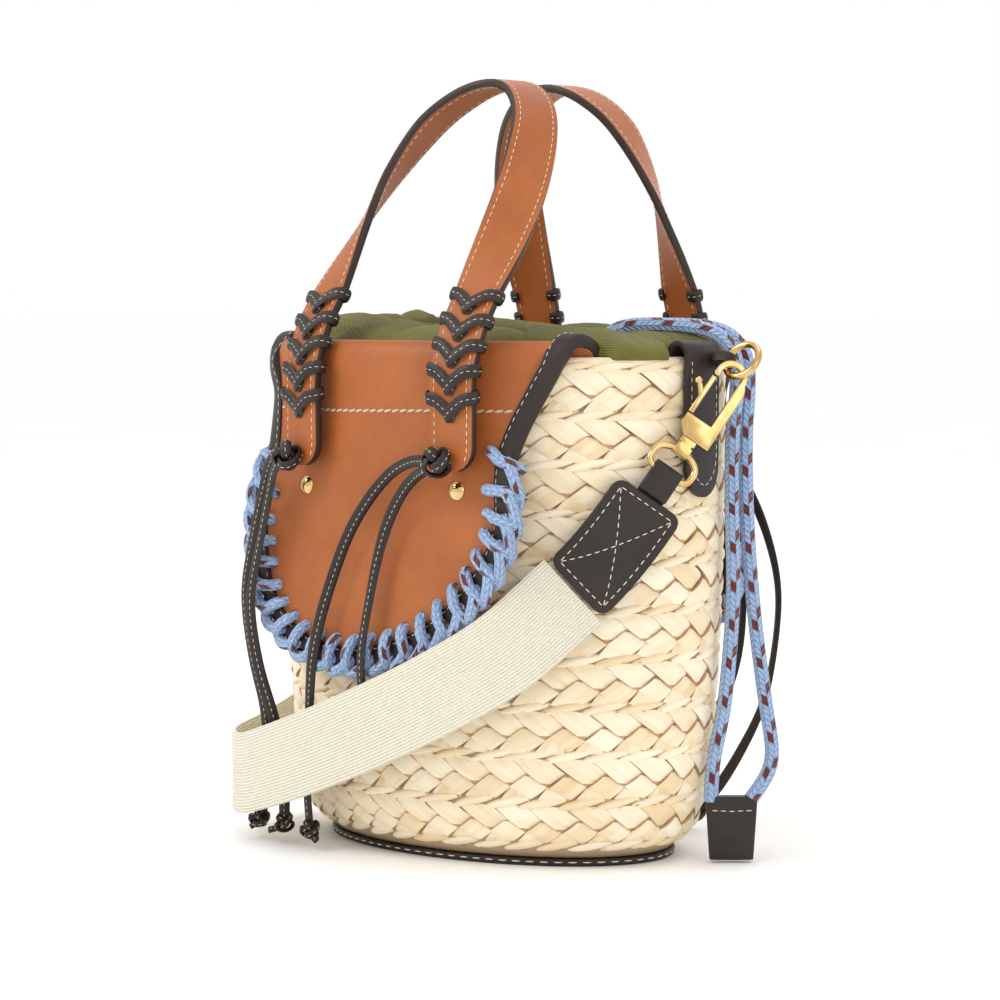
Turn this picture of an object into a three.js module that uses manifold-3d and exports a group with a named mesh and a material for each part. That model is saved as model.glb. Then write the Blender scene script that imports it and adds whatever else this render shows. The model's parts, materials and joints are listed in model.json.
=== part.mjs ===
// Plaited bucket bag: oval basket with drawstring liner, leather flaps, laced top handles and a
// clip-on webbing shoulder strap. Millimetres, +Z up, front towards -Y, origin under the base.
import * as THREE from 'three';
import { mergeVertices } from 'three/addons/utils/BufferGeometryUtils.js';
import Module from 'manifold-3d';

const wasm = await Module();
wasm.setup();

// ---------- driving dimensions ----------
const GAP = 0.3; // clearance kept between neighbouring pieces
const OVAL_STEP = 33; // the short half-axis of every oval ring is this much less than the long one
const OVAL_CORE = 60; // inside this half-axis the step shrinks to nothing towards the centre
const OVAL_SIDES = 36; // facets round an oval
const RIM_R = 113; // long half-axis of the basket at the rim
const RIM_Z = 222.5; // height of the plaited rim
const LEATHER = 2.4; // flap and tab leather
const FLAP_BOTTOM_Z = 86.6;
const FLAP_WAIST_Z = 175;
const FLAP_TOP_HALF = 88; // half width of a flap where it folds over the rim
const FLAP_WAIST_HALF = 71.5;
const FLAP_LOWER_HALF = 75;
const FLAP_FLAT_Y = 81.3; // the lower flap hangs nearly flat at this distance from the centre
const BINDING_WIDTH = 8;
const EDGE_ROPE_R = 3.1;
const STRAP_WIDTH = 22; // top handle strap
const STRAP_THICK = 3.6;
const HANDLE_GAP = 3.2; // clear length each side of a handle's bending line
const THONG_R = 0.9;
const TAIL_R = 1.8;
const DRAWCORD_R = 3.2;
const WEBBING_WIDTH = 36;
const WEBBING_THICK = 2.2;
const PATCH_LENGTH = 52;
const PATCH_WIDTH = 33;
const PATCH_THICK = 4.6;
const RING_R = 8; // side ring, centre of its wire
const WIRE_R = 1.5;
const RIVET_R = 3.3;
const RIVET_X = 44;
const RIVET_Z = 163;

// ---------- materials ----------
const finish = (color, roughness, metalness = 0) =>
  new THREE.MeshStandardMaterial({ color, roughness, metalness });
const PALM = finish(0xecd6ab, 0.75);
const TAN = finish(0xb96d36, 0.5);
const DARK = finish(0x35291f, 0.5);
const OLIVE = finish(0x6c6c3c, 0.85);
const ROPE = finish(0x9dbbe3, 0.8);
const CANVAS = finish(0xe4dfca, 0.9);
const GOLD = finish(0xe6c373, 0.25, 1);

// ---------- geometry helpers ----------
const V = (x, y, z) => new THREE.Vector3(x, y, z);
const clamp01 = (t) => Math.min(1, Math.max(0, t));
const smooth = (t) => clamp01(t) * clamp01(t) * (3 - 2 * clamp01(t));
const mix = (a, b, t) => a + (b - a) * t;

// Piecewise linear reading of a short list of [key, value] pairs with rising keys.
function along(list, key) {
  if (key <= list[0][0]) return list[0][1];
  for (let i = 1; i < list.length; i++) {
    const [k0, v0] = list[i - 1];
    const [k1, v1] = list[i];
    if (key <= k1) return mix(v0, v1, (key - k0) / (k1 - k0));
  }
  return list[list.length - 1][1];
}

// Welds a geometry and turns its faces outwards.
function closed(geometry) {
  geometry.deleteAttribute('normal');
  geometry.deleteAttribute('uv');
  const welded = mergeVertices(geometry, 1e-4);
  const p = welded.getAttribute('position');
  const index = welded.getIndex().array;
  let volume = 0;
  const [a, b, c] = [V(), V(), V()];
  for (let i = 0; i < index.length; i += 3) {
    a.fromBufferAttribute(p, index[i]);
    b.fromBufferAttribute(p, index[i + 1]);
    c.fromBufferAttribute(p, index[i + 2]);
    volume += a.dot(b.cross(c));
  }
  if (volume < 0) {
    for (let i = 0; i < index.length; i += 3) [index[i], index[i + 1]] = [index[i + 1], index[i]];
  }
  return welded;
}

function warp(geometry, place) {
  const p = geometry.getAttribute('position');
  for (let i = 0; i < p.count; i++) {
    const q = place(p.getX(i), p.getY(i), p.getZ(i));
    p.setXYZ(i, q.x, q.y, q.z);
  }
  return closed(geometry);
}

// A sheet of leather or cloth: place(u, v, w) with u from -1 to 1, v from 0 to 1 and w from 0 to 1.
function sheet(acrossSteps, alongSteps, place) {
  const block = new THREE.BoxGeometry(2, 1, 1, acrossSteps, alongSteps, 1);
  return warp(block, (x, y, z) => place(x, y + 0.5, z + 0.5));
}

const shortAxis = (r) => r - OVAL_STEP * Math.min(1, r / OVAL_CORE);

// An oval ring or cup from a closed profile of [long half-axis, height] points.
function ovalTurn(profile, lift = () => 0) {
  const points = [...profile, profile[0]].map(([r, z]) => new THREE.Vector2(r, z));
  const lathe = new THREE.LatheGeometry(points, OVAL_SIDES);
  return warp(lathe, (x, height, z) => {
    const r = Math.hypot(x, z);
    const angle = Math.atan2(z, x);
    const top = height + lift(r, height, angle);
    return V(r * Math.cos(angle), shortAxis(r) * Math.sin(angle), top);
  });
}

// Gives a line of [r, z] points an even thickness and closes it.
function thicken(line, thickness) {
  const sides = [[], []];
  line.forEach(([r, z], i) => {
    const before = line[Math.max(0, i - 1)];
    const after = line[Math.min(line.length - 1, i + 1)];
    const run = new THREE.Vector2(after[0] - before[0], after[1] - before[1]).normalize();
    sides[0].push([r - run.y * thickness / 2, z + run.x * thickness / 2]);
    sides[1].unshift([r + run.y * thickness / 2, z - run.x * thickness / 2]);
  });
  return [...sides[0], ...sides[1]];
}

const circle = (radius, sides) => {
  const corners = Array.from({ length: sides }, (_, i) => {
    const angle = (2 * Math.PI * i) / sides;
    return new THREE.Vector2(radius * Math.cos(angle), radius * Math.sin(angle));
  });
  return new THREE.Shape(corners);
};

function tube(points, radius, sides, steps) {
  const extrudePath = new THREE.CatmullRomCurve3(points, false, 'centripetal');
  return closed(new THREE.ExtrudeGeometry(circle(radius, sides), { steps, bevelEnabled: false, extrudePath }));
}

function toSolid(geometry) {
  const vertProperties = Float32Array.from(geometry.getAttribute('position').array);
  const triVerts = Uint32Array.from(geometry.getIndex().array);
  return new wasm.Manifold(new wasm.Mesh({ numProp: 3, vertProperties, triVerts }));
}

function joined(...geometries) {
  const mesh = geometries.map(toSolid).reduce((whole, piece) => whole.add(piece)).getMesh();
  const geometry = new THREE.BufferGeometry();
  geometry.setAttribute('position', new THREE.BufferAttribute(mesh.vertProperties, 3));
  geometry.setIndex(new THREE.BufferAttribute(mesh.triVerts, 1));
  return geometry;
}

const bag = new THREE.Group();
function add(name, geometry, material, parent = bag) {
  const mesh = new THREE.Mesh(geometry, material);
  mesh.name = name;
  parent.add(mesh);
  return mesh;
}

// ---------- basket, base and liner ----------
const WALL_OUTLINE = [
  [3.8, 88], [6.5, 94.5], [12, 100], [24, 104.5], [50, 108.2], [85, 110.8], [130, 112.3], [180, RIM_R],
];
const wallR = (z) => along(WALL_OUTLINE, z);

function addBasket() {
  const outside = WALL_OUTLINE.map(([z, r]) => [r, z]);
  const rim = [[RIM_R, 217], [112, 221], [109.7, RIM_Z], [107.3, 221], [106.5, 217]];
  const inside = [[106.4, 180], [103.8, 85], [97.5, 24], [91, 11], [84, 7], [84, 3.8]];
  add('basket_wall', ovalTurn([...outside, ...rim, ...inside]), PALM);
  add('basket_bottom', ovalTurn([[0.001, 3.8], [83.6, 3.8], [83.6, 8], [0.001, 8]]), PALM);
  add('base_panel', ovalTurn([[0.001, 0], [90, 0], [90, 3.5], [0.001, 3.5]]), DARK);
  const cup = [[0.001, 9.2], [78, 9.2], [88.5, 13.5], [94.5, 26], [100, 85], [101.6, 180], [101.8, 218]];
  const wallCloth = thicken(cup, 1.2);
  wallCloth[0][0] = 0.001;
  wallCloth[wallCloth.length - 1][0] = 0.001;
  add('liner_pouch', ovalTurn(wallCloth), OLIVE);
}

// The gathered collar is lowest at the right, where the drawcord pulls it over the rim.
const collarLift = (angle) => 4.5 * (1 - Math.cos(angle));

function addCollar() {
  const puff = [[101.2, 219.3], [100.6, 223.5], [97, 226.8], [87, 227.7], [74, 226.5], [66, 224.3]];
  const channel = [[60, 226], [55.5, 224.5], [54, 221], [55.5, 217.5], [59.5, 216], [63.5, 217]];
  const lift = (r, z, angle) => collarLift(angle) * (r < 99.5 ? 1 : clamp01((z - 219.3) / 4.2));
  add('liner_collar', ovalTurn(thicken([...puff, ...channel], 1.6), lift), OLIVE);
  const ring = new THREE.TorusGeometry(59.5, DRAWCORD_R, 6, OVAL_SIDES);
  const cord = warp(ring, (x, y, z) => {
    const angle = Math.atan2(y, x);
    const r = Math.hypot(x, y);
    return V(r * Math.cos(angle), shortAxis(r) * Math.sin(angle), 221 + z + collarLift(angle));
  });
  add('drawcord_loop', cord, ROPE);
}

// ---------- flaps ----------
function flapHalfWidth(z) {
  if (z > FLAP_WAIST_Z) {
    return FLAP_WAIST_HALF + (FLAP_TOP_HALF - FLAP_WAIST_HALF) * Math.pow((z - FLAP_WAIST_Z) / 51, 1.5);
  }
  if (z > 150) return mix(FLAP_LOWER_HALF, FLAP_WAIST_HALF, smooth((z - 150) / 25));
  const down = Math.min(0.9999, (150 - z) / 64);
  return FLAP_LOWER_HALF * Math.pow(1 - Math.pow(down, 2.1), 1 / 2.1);
}

// Distance of the flap's middle layer from the centre plane, at x and z on the hanging part.
function flapY(x, z) {
  const r = wallR(z) + 2.3;
  const onWall = (r - OVAL_STEP) * Math.sqrt(1 - (x / r) ** 2);
  return mix(FLAP_FLAT_Y - 0.0007 * x * x, onWall, smooth((z - 150) / 64));
}

const FOLD = [[104.5, 197], [104.5, 214], [105, 221], [107, 225], [110, 226], [113.6, 225], [115.1, 221]];

// Middle line of a flap or tab over the rim: v from 0 to 1 up the inside and over.
function foldPoint(step) {
  const i = Math.min(FOLD.length - 2, Math.floor(step));
  return [mix(FOLD[i][0], FOLD[i + 1][0], step - i), mix(FOLD[i][1], FOLD[i + 1][1], step - i)];
}

function foldNormal(step) {
  const [r0, z0] = foldPoint(Math.max(0, step - 0.5));
  const [r1, z1] = foldPoint(Math.min(FOLD.length - 1, step + 0.5));
  const run = new THREE.Vector2(r1 - r0, z1 - z0).normalize();
  return [-run.y, run.x];
}

// The lower flap hangs a little askew: it drops and moves across to its left.
function askew(x, z) {
  const down = smooth((FLAP_WAIST_Z - z) / 80);
  return [x - 5 * down, z + 0.13 * x * down];
}

function flapGeometry() {
  const foldSteps = FOLD.length - 1;
  const upper = 5;
  const lower = 7;
  const total = foldSteps + upper + lower;
  return sheet(10, total, (u, v, w) => {
    const row = Math.round(v * total);
    if (row <= foldSteps) {
      const [r, z] = foldPoint(row);
      const [nr, nz] = foldNormal(row);
      const out = (w - 0.5) * LEATHER;
      const x = u * FLAP_TOP_HALF;
      const radius = r + nr * out;
      return V(x, -(radius - OVAL_STEP) * Math.sqrt(1 - (x / radius) ** 2), z + nz * out);
    }
    const z = row <= foldSteps + upper
      ? mix(214, 150, (row - foldSteps) / upper)
      : 150 - (150 - FLAP_BOTTOM_Z) * Math.sin(((row - foldSteps - upper) / lower) * (Math.PI / 2));
    const [x, level] = askew(u * flapHalfWidth(z), z);
    return V(x, -flapY(x, z) - (w - 0.5) * LEATHER, level);
  });
}

// The flap's outline from the right end of the fold, round the bottom, to the left end.
function flapOutline(topZ) {
  const right = [];
  for (let i = 0; i < 8; i++) right.push([mix(topZ, 150, i / 8), 0]);
  for (let i = 0; i <= 9; i++) right.push([150 - (150 - FLAP_BOTTOM_Z) * Math.sin((i / 9) * (Math.PI / 2)), 0]);
  right.forEach((corner) => { corner[1] = flapHalfWidth(corner[0]); });
  const left = right.slice().reverse().map(([z, x]) => [z, -x]);
  return [...right, ...left].map(([z, x]) => new THREE.Vector2(...askew(x, z)));
}

const outlineInward = (outline, i) => {
  const before = outline[Math.max(0, i - 1)];
  const after = outline[Math.min(outline.length - 1, i + 1)];
  const run = after.clone().sub(before).normalize();
  return new THREE.Vector2(run.y, -run.x);
};

function bindingGeometry() {
  const outline = flapOutline(212);
  return sheet(1, outline.length - 1, (u, v, w) => {
    const i = Math.round(v * (outline.length - 1));
    const edge = outline[i].clone().addScaledVector(outlineInward(outline, i), ((u + 1) / 2) * BINDING_WIDTH);
    return V(edge.x, -flapY(edge.x, edge.y) - LEATHER / 2 - 0.8 - w, edge.y);
  });
}

function edgeRopeGeometry() {
  const outline = flapOutline(FLAP_WAIST_Z);
  const points = outline.filter((_, i) => i % 2 === 0 || i === outline.length - 1).map((edge) => {
    const i = outline.indexOf(edge);
    const out = edge.clone().addScaledVector(outlineInward(outline, i), -EDGE_ROPE_R - 0.9);
    return V(out.x, -flapY(out.x, out.y) - 0.6, out.y);
  });
  return tube(points, EDGE_ROPE_R, 8, 28);
}

function rivetGeometry(x) {
  const height = 1.8;
  const profile = [[0, 0], [RIVET_R, 0], [RIVET_R * 0.8, height * 0.7], [0, height]];
  const dome = new THREE.LatheGeometry(profile.map(([r, h]) => new THREE.Vector2(r, h)), 12);
  dome.rotateX(Math.PI);
  dome.translate(x, 0, 0);
  return warp(dome, (px, py, pz) =>
    V(px, py - flapY(x, RIVET_Z) - LEATHER / 2 - GAP - 0.25, RIVET_Z + pz));
}

// ---------- top handles ----------
// Middle line of the right half of a handle with the turn of its width from across to lengthways.
const HANDLE_LINE = [
  [44, -87, 172, 6], [44, -87, 195, 7], [44, -86.8, 213, 8], [44, -80.5, 231, 9], [43.6, -71, 246, 10],
  [43, -53, 272, 38], [40, -36, 297, 62], [31, -19, 321, 80], [17, -8, 335, 88], [0, -4, 340, 90],
];

// The front handle is laced on a little off the middle of its flap.
const HANDLE_SHIFT = { front: 5.5, back: 0 };

function handleFrames(lean, shift) {
  const half = HANDLE_LINE.map(([x, y, z, turn]) => [x, lean(y, z), z, turn]);
  const other = half.slice(0, -1).reverse().map(([x, y, z, turn]) => [-x, y, z, 180 - turn]);
  const all = [...half, ...other].map(([x, y, z, turn]) => [x + shift, y, z, turn]);
  const curve = new THREE.CatmullRomCurve3(all.map(([x, y, z]) => V(x, y, z)), false, 'centripetal');
  const at = (t) => {
    const place = curve.getPoint(t);
    const run = curve.getTangent(t);
    const i = Math.min(all.length - 2, Math.floor(t * (all.length - 1)));
    const turn = THREE.MathUtils.degToRad(mix(all[i][3], all[i + 1][3], t * (all.length - 1) - i));
    const across = V(Math.cos(turn), Math.sin(turn), 0);
    across.addScaledVector(run, -across.dot(run)).normalize();
    return { place, across, inward: run.clone().cross(across) };
  };
  const length = curve.getLength();
  const pivot = 4 / (all.length - 1);
  const step = HANDLE_GAP / length * 1.15;
  return { at, pivot, step };
}

const strapPiece = (frames, from, to, steps) => sheet(1, steps, (u, v, w) => {
  const { place, across, inward } = frames.at(mix(from, to, v));
  return place.addScaledVector(across, (u * STRAP_WIDTH) / 2).addScaledVector(inward, (0.5 - w) * STRAP_THICK);
});

// The thong that laces a leg to its flap: five flat turns round the leg.
function lacingGeometry(frames, mirror) {
  const turns = 5;
  const perTurn = 8; // corners and middles of the leg's section
  const points = [];
  for (let i = 0; i <= turns * perTurn; i++) {
    const angle = (i / perTurn) * 2 * Math.PI;
    const t = mix(0.026, 0.205, i / (turns * perTurn));
    const { place, across, inward } = frames.at(mirror ? 1 - t : t);
    const squared = (value) => THREE.MathUtils.clamp(value * 1.6, -1, 1);
    points.push(place.addScaledVector(across, squared(Math.cos(angle)) * (STRAP_WIDTH / 2 + 2.6))
      .addScaledVector(inward, squared(Math.sin(angle)) * (STRAP_THICK / 2 + 2)));
  }
  return tube(points, THONG_R, 5, turns * perTurn * 1.5);
}

const KNOT = V(7, 5, 5.3);
const KNOT_Y = -94.6;
const KNOT_Z = 176.2;

function knotGeometry(x) {
  const ball = new THREE.SphereGeometry(1, 8, 5);
  ball.scale(KNOT.x, KNOT.y, KNOT.z);
  ball.translate(x, KNOT_Y, KNOT_Z);
  return closed(ball);
}

function tailGeometry(points) {
  const line = points.map(([x, y, z]) => V(x, y, z));
  const end = line[line.length - 1];
  const ball = new THREE.SphereGeometry(1, 7, 5);
  ball.scale(4.6, 4.4, 5);
  ball.translate(end.x, end.y, end.z);
  return joined(tube(line, TAIL_R, 8, 14), closed(ball));
}

// ---------- one side of the bag: flap with handle ----------
function addSide(name, lean, parent) {
  add(`${name}_flap`, flapGeometry(), TAN, parent);
  add(`${name}_flap_binding`, bindingGeometry(), DARK, parent);
  add(`${name}_flap_edge_rope`, edgeRopeGeometry(), ROPE, parent);
  const shift = HANDLE_SHIFT[name];
  const frames = handleFrames(lean, shift);
  add(`${name}_handle`, strapPiece(frames, frames.pivot + frames.step, 1 - frames.pivot - frames.step, 26), TAN, parent);
  [['right', 1], ['left', -1]].forEach(([hand, side]) => {
    const turned = parent === bag ? hand : { right: 'left', left: 'right' }[hand];
    const foot = side > 0 ? 0 : 1;
    const top = side > 0 ? frames.pivot - frames.step : 1 - frames.pivot + frames.step;
    add(`${name}_${turned}_leg`, strapPiece(frames, foot, top, 8), TAN, parent);
    add(`${name}_${turned}_lacing`, lacingGeometry(frames, side < 0), DARK, parent);
    add(`${name}_${turned}_knot`, knotGeometry(side * 44 - 3 + shift), DARK, parent);
    add(`${name}_${turned}_rivet`, rivetGeometry(side * RIVET_X + shift / 3), GOLD, parent);
  });
}

const TAILS = {
  front_right_tail_1: [[38.5, -94.5, 176], [29, -92, 175.5], [13, -90, 168], [-7.6, -89, 146], [-22.5, -89, 116],
    [-31, -89, 91], [-36, -86, 72], [-41, -82, 52], [-45, -79, 30], [-46, -76, 7]],
  front_right_tail_2: [[39, -94.5, 171.5], [32, -92, 169], [21, -90, 160], [10.5, -89, 142], [3, -89, 116],
    [-2.5, -89, 90], [-4, -86, 72], [-5, -82.5, 56]],
  front_left_tail_1: [[-48.8, -94, 176], [-56, -91.5, 168], [-69, -89, 135], [-74.5, -88, 112], [-70, -87.5, 84],
    [-66, -84, 62], [-70, -78, 38], [-78, -72, 20], [-85, -69, 7]],
  front_left_tail_2: [[-48, -95, 171.5], [-53, -92.5, 162], [-62.5, -91, 134], [-68.5, -90.5, 110], [-64, -90, 82],
    [-60, -85, 60], [-60, -78.5, 38], [-64, -74, 20], [-68, -70, 7]],
  back_right_tail_1: [[55.5, 95, 176], [62, 93.5, 168], [78, 92, 145], [88, 91, 118], [89, 89.5, 94],
    [84, 87, 62], [73, 84, 38], [62, 81, 20], [53, 77, 7]],
  back_right_tail_2: [[55, 95, 171], [60, 93.5, 158], [66, 92, 136], [69, 91, 110], [67, 90, 82],
    [60, 86, 58], [48, 82, 38], [36, 79.5, 20], [30, 77, 7]],
  back_left_tail_1: [[-32.6, 95, 176], [-24, 92.5, 170], [-14, 90, 148], [-10, 89, 116], [-9, 89, 90],
    [-10, 87, 66], [-12, 83, 40], [-14, 80, 20], [-15, 78, 7]],
  back_left_tail_2: [[-33, 95, 171.5], [-29, 92, 162], [-27, 90, 140], [-28, 89, 112], [-31, 89, 88],
    [-34, 86, 64], [-36, 82, 40], [-37, 79, 20], [-38, 77, 7]],
};

// ---------- side tabs ----------
const TAB_HALF = 11;
const TAB_BOTTOM_Z = 160;

function tabGeometry(side) {
  const foldSteps = FOLD.length - 1;
  const rows = 8;
  const total = foldSteps + rows;
  return sheet(4, total, (u, v, w) => {
    const row = Math.round(v * total);
    const out = (w - 0.5) * LEATHER;
    if (row <= foldSteps) {
      const [r, z] = foldPoint(row);
      const [nr, nz] = foldNormal(row);
      const y = u * TAB_HALF;
      return V(side * (r + nr * out) * Math.sqrt(1 - (y / (r - OVAL_STEP)) ** 2), y, z + nz * out);
    }
    const turn = ((row - foldSteps) / rows) * 0.97;
    const z = mix(214, TAB_BOTTOM_Z, turn);
    const y = u * TAB_HALF * Math.sqrt(1 - Math.max(0, (turn - 0.55) / 0.45) ** 2);
    const r = wallR(z) + 1.7;
    return V(side * (r + out) * Math.sqrt(1 - (y / (r - OVAL_STEP)) ** 2), y, z);
  });
}

// ---------- shoulder strap hardware ----------
const RING_CENTRE = V(131, 6, 218.5);
const PULL = { right: V(-0.27, -0.53, -0.8).normalize(), left: V(0, 0.45, -0.89).normalize() };
const FACE = { right: V(0.716, -0.689, 0.118), left: V(-1, 0, 0) };
const HOOK_TURN = { right: -1, left: 1 }; // the right hook has its gate on the far side

// Frame of a snap hook: x across from gate to bar, y down the hook, z through its flat face.
function hookFrame(hand) {
  const side = hand === 'right' ? 1 : -1;
  const pull = PULL[hand];
  const face = FACE[hand].clone().addScaledVector(pull, -FACE[hand].dot(pull)).normalize()
    .multiplyScalar(HOOK_TURN[hand]);
  const across = pull.clone().cross(face);
  const centre = V(side * RING_CENTRE.x, RING_CENTRE.y, RING_CENTRE.z);
  const origin = centre.addScaledVector(pull, RING_R);
  return new THREE.Matrix4().makeBasis(across, pull, face).setPosition(origin);
}

const HOOK_THICK = 3.4;
const HOOK_LENGTH = 33.5;
const EYE_Y = 45.5; // middle of the swivel eye
const LOOP_START = 51.5; // wire of the eye that the leather loop goes round
const PATCH_START = 63.8;

function plate(shape, thickness, curveSegments = 6) {
  const geometry = new THREE.ExtrudeGeometry(shape, { depth: thickness, bevelEnabled: false, curveSegments });
  geometry.translate(0, 0, -thickness / 2);
  return geometry;
}

function hookShape() {
  const shape = new THREE.Shape();
  shape.moveTo(9, HOOK_LENGTH);
  shape.lineTo(9, 5);
  shape.lineTo(7.2, 1.2);
  shape.absarc(0, 1.2, 7.2, 0, -Math.PI, true);
  shape.lineTo(-7.2, 4);
  shape.lineTo(-4.6, 4);
  shape.lineTo(-4.6, 1.2);
  shape.absarc(0, 1.2, 4.6, -Math.PI, 0, false);
  shape.lineTo(4.6, 24);
  shape.lineTo(-7.2, 24);
  shape.lineTo(-7.2, 29);
  shape.lineTo(-3, HOOK_LENGTH);
  return shape;
}

function triggerShape() {
  const corners = [
    [-4.9, 4.6], [-4.9, 23.4], [-7.2, 23.4], [-7.2, 14], [-11.5, 11.5], [-12.3, 8.5], [-7.2, 9.5], [-7.2, 4.6],
  ];
  return new THREE.Shape(corners.map(([x, y]) => new THREE.Vector2(x, y)));
}

function eyeGeometry() {
  const eye = new THREE.TorusGeometry(1, 0.15, 6, 20);
  const ring = warp(eye, (x, y, z) => {
    const r = Math.hypot(x, y);
    const wire = ((r - 1) / 0.15) * WIRE_R;
    const squared = (value) => (y > 0 ? Math.sign(value) * Math.abs(value) ** 0.5 : value);
    return V(squared(x / r) * (10 + wire), EYE_Y + squared(y / r) * (6 + wire), (z / 0.15) * WIRE_R);
  });
  const stud = new THREE.CylinderGeometry(3.6, 3.6, 5.6, 10);
  stud.translate(0, HOOK_LENGTH + GAP + 2.8, 0);
  return joined(ring, closed(stud));
}

// Leather loop round the far wire of the swivel eye: two plies joined by a bend.
function loopGeometry() {
  const inner = 2;
  const outer = 3.7;
  const bend = new THREE.Shape();
  bend.moveTo(inner, 11.5);
  bend.lineTo(inner, 0);
  bend.absarc(0, 0, inner, 0, -Math.PI, true);
  bend.lineTo(-inner, 11.5);
  bend.lineTo(-outer, 11.5);
  bend.lineTo(-outer, 0);
  bend.absarc(0, 0, outer, -Math.PI, 0, false);
  bend.lineTo(outer, 11.5);
  const strip = plate(bend, 13);
  strip.rotateY(Math.PI / 2);
  strip.translate(0, LOOP_START, 0);
  return strip;
}

function ringGeometry() {
  return new THREE.TorusGeometry(RING_R, WIRE_R, 6, 18);
}

// Leather keeper: an upright eye between the tab and the ring.
function keeperGeometry() {
  const outer = new THREE.Shape();
  outer.absarc(0, 0, 3.7, -Math.PI / 2, Math.PI / 2, false);
  outer.lineTo(-6.4, 3.7);
  outer.lineTo(-6.4, -3.7);
  const hole = new THREE.Path();
  hole.absarc(0, 0, 2.3, 0, 2 * Math.PI, true);
  outer.holes.push(hole);
  return plate(outer, 5);
}

function addHook(hand) {
  const side = hand === 'right' ? 1 : -1;
  const frame = hookFrame(hand);
  const hang = (name, geometry, material) => add(name, closed(geometry.applyMatrix4(frame)), material);
  hang(`${hand}_hook_body`, closed(plate(hookShape(), HOOK_THICK)), GOLD);
  hang(`${hand}_hook_trigger`, closed(plate(triggerShape(), 2.6)), GOLD);
  hang(`${hand}_hook_eye`, eyeGeometry(), GOLD);
  hang(`${hand}_strap_loop`, loopGeometry(), DARK);
  const out = V(side, 0, 0);
  const down = V(0, PULL[hand].y, PULL[hand].z).normalize();
  const centre = V(side * RING_CENTRE.x, RING_CENTRE.y, RING_CENTRE.z);
  const ringFrame = new THREE.Matrix4().makeBasis(out, down, out.clone().cross(down)).setPosition(centre);
  add(`${hand}_ring`, closed(ringGeometry().applyMatrix4(ringFrame)), GOLD);
  const hold = centre.clone().addScaledVector(out, -RING_R);
  const keeperFrame = new THREE.Matrix4().makeBasis(out, down.clone().cross(out), down).setPosition(hold);
  add(`${hand}_ring_keeper`, closed(keeperGeometry().applyMatrix4(keeperFrame)), DARK);
  return frame;
}

// ---------- shoulder strap webbing ----------
// Middle line from the right patch, over the front, round the left side and up to the left patch,
// each with the direction that its outer face looks in.
const WEBBING_LINE = [
  [[91, -58, 122], [0.75, -0.62, 0.2]], [[71, -78, 97], [0.55, -0.8, 0.2]], [[41, -90, 77.5], [0.25, -0.95, 0.1]],
  [[3, -93, 60], [0.05, -1, 0]], [[-30, -93, 47], [-0.05, -1, 0]], [[-57, -90, 38], [-0.25, -0.97, 0]],
  [[-84, -81, 31], [-0.6, -0.8, 0]], [[-109, -60, 30], [-0.85, -0.5, 0]], [[-124, -24, 33], [-1, -0.2, 0]],
  [[-130, 12, 42], [-1, 0, 0]], [[-131, 44, 56], [-1, 0, 0]], [[-131, 64, 75], [-1, 0, 0]],
  [[-131, 68, 94], [-1, 0, 0]], [[-131, 62, 108], [-1, 0, 0]],
];

function ribbon(line, width, thick, steps) {
  const places = line.map(([place]) => V(...place));
  const curve = new THREE.CatmullRomCurve3(places, false, 'centripetal');
  return sheet(1, steps, (u, v, w) => {
    const place = curve.getPoint(v);
    const run = curve.getTangent(v);
    const i = Math.min(line.length - 2, Math.floor(v * (line.length - 1)));
    const face = V(...line[i][1]).lerp(V(...line[i + 1][1]), v * (line.length - 1) - i);
    face.addScaledVector(run, -face.dot(run)).normalize();
    const across = run.clone().cross(face);
    return place.addScaledVector(across, (u * width) / 2).addScaledVector(face, (w - 0.5) * thick);
  });
}

function patchLine(hand, frame) {
  const [end, face] = hand === 'right' ? WEBBING_LINE[0] : WEBBING_LINE[WEBBING_LINE.length - 1];
  const start = V(0, PATCH_START, 0).applyMatrix4(frame);
  const startFace = FACE[hand].clone();
  const pull = PULL[hand];
  const last = V(...end);
  const next = hand === 'right' ? V(...WEBBING_LINE[1][0]) : V(...WEBBING_LINE[WEBBING_LINE.length - 2][0]);
  const beyond = last.clone().sub(next).normalize();
  last.addScaledVector(beyond, 1.2);
  const third = start.distanceTo(last) / 3;
  const one = start.clone().addScaledVector(pull, third);
  const two = last.clone().addScaledVector(beyond, third);
  const bezier = new THREE.CubicBezierCurve3(start, one, two, last);
  return [0, 0.25, 0.5, 0.75, 1].map((t) => {
    const turned = startFace.clone().lerp(V(...face), t);
    return [bezier.getPoint(t).toArray(), turned.toArray()];
  });
}

function addStrap() {
  ['right', 'left'].forEach((hand) => {
    const frame = addHook(hand);
    add(`${hand}_strap_patch`, ribbon(patchLine(hand, frame), PATCH_WIDTH, PATCH_THICK, 8), DARK);
  });
  add('strap_webbing', ribbon(WEBBING_LINE, WEBBING_WIDTH, WEBBING_THICK, 44), CANVAS);
}

// ---------- drawcord ends ----------
const DRAWCORD_ENDS = {
  drawcord_front_end: [[66, 1, 231.3], [82, 8, 232.8], [97, 15, 232.4], [108, 19.5, 229], [115.5, 21.5, 221],
    [116.5, 22, 208], [114, 22, 185], [113.5, 22.5, 155], [114, 23, 115], [112, 20, 70], [109.5, 15.5, 45],
    [108.6, 14.6, 29.5]],
  drawcord_back_end: [[66, 10.5, 231.3], [82, 17, 232.8], [96, 24, 232.4], [107, 28.5, 229], [114.5, 30.5, 221],
    [116, 31, 208], [114.5, 31, 185], [115, 31.5, 150], [117, 34, 110], [120, 38, 72], [124.5, 38, 48],
    [125.6, 33, 39], [123, 27.2, 31]],
};
const TAB_CENTRE = V(115.5, 20.5, 1.2);
const TAB_TALL = 27.8;

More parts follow.
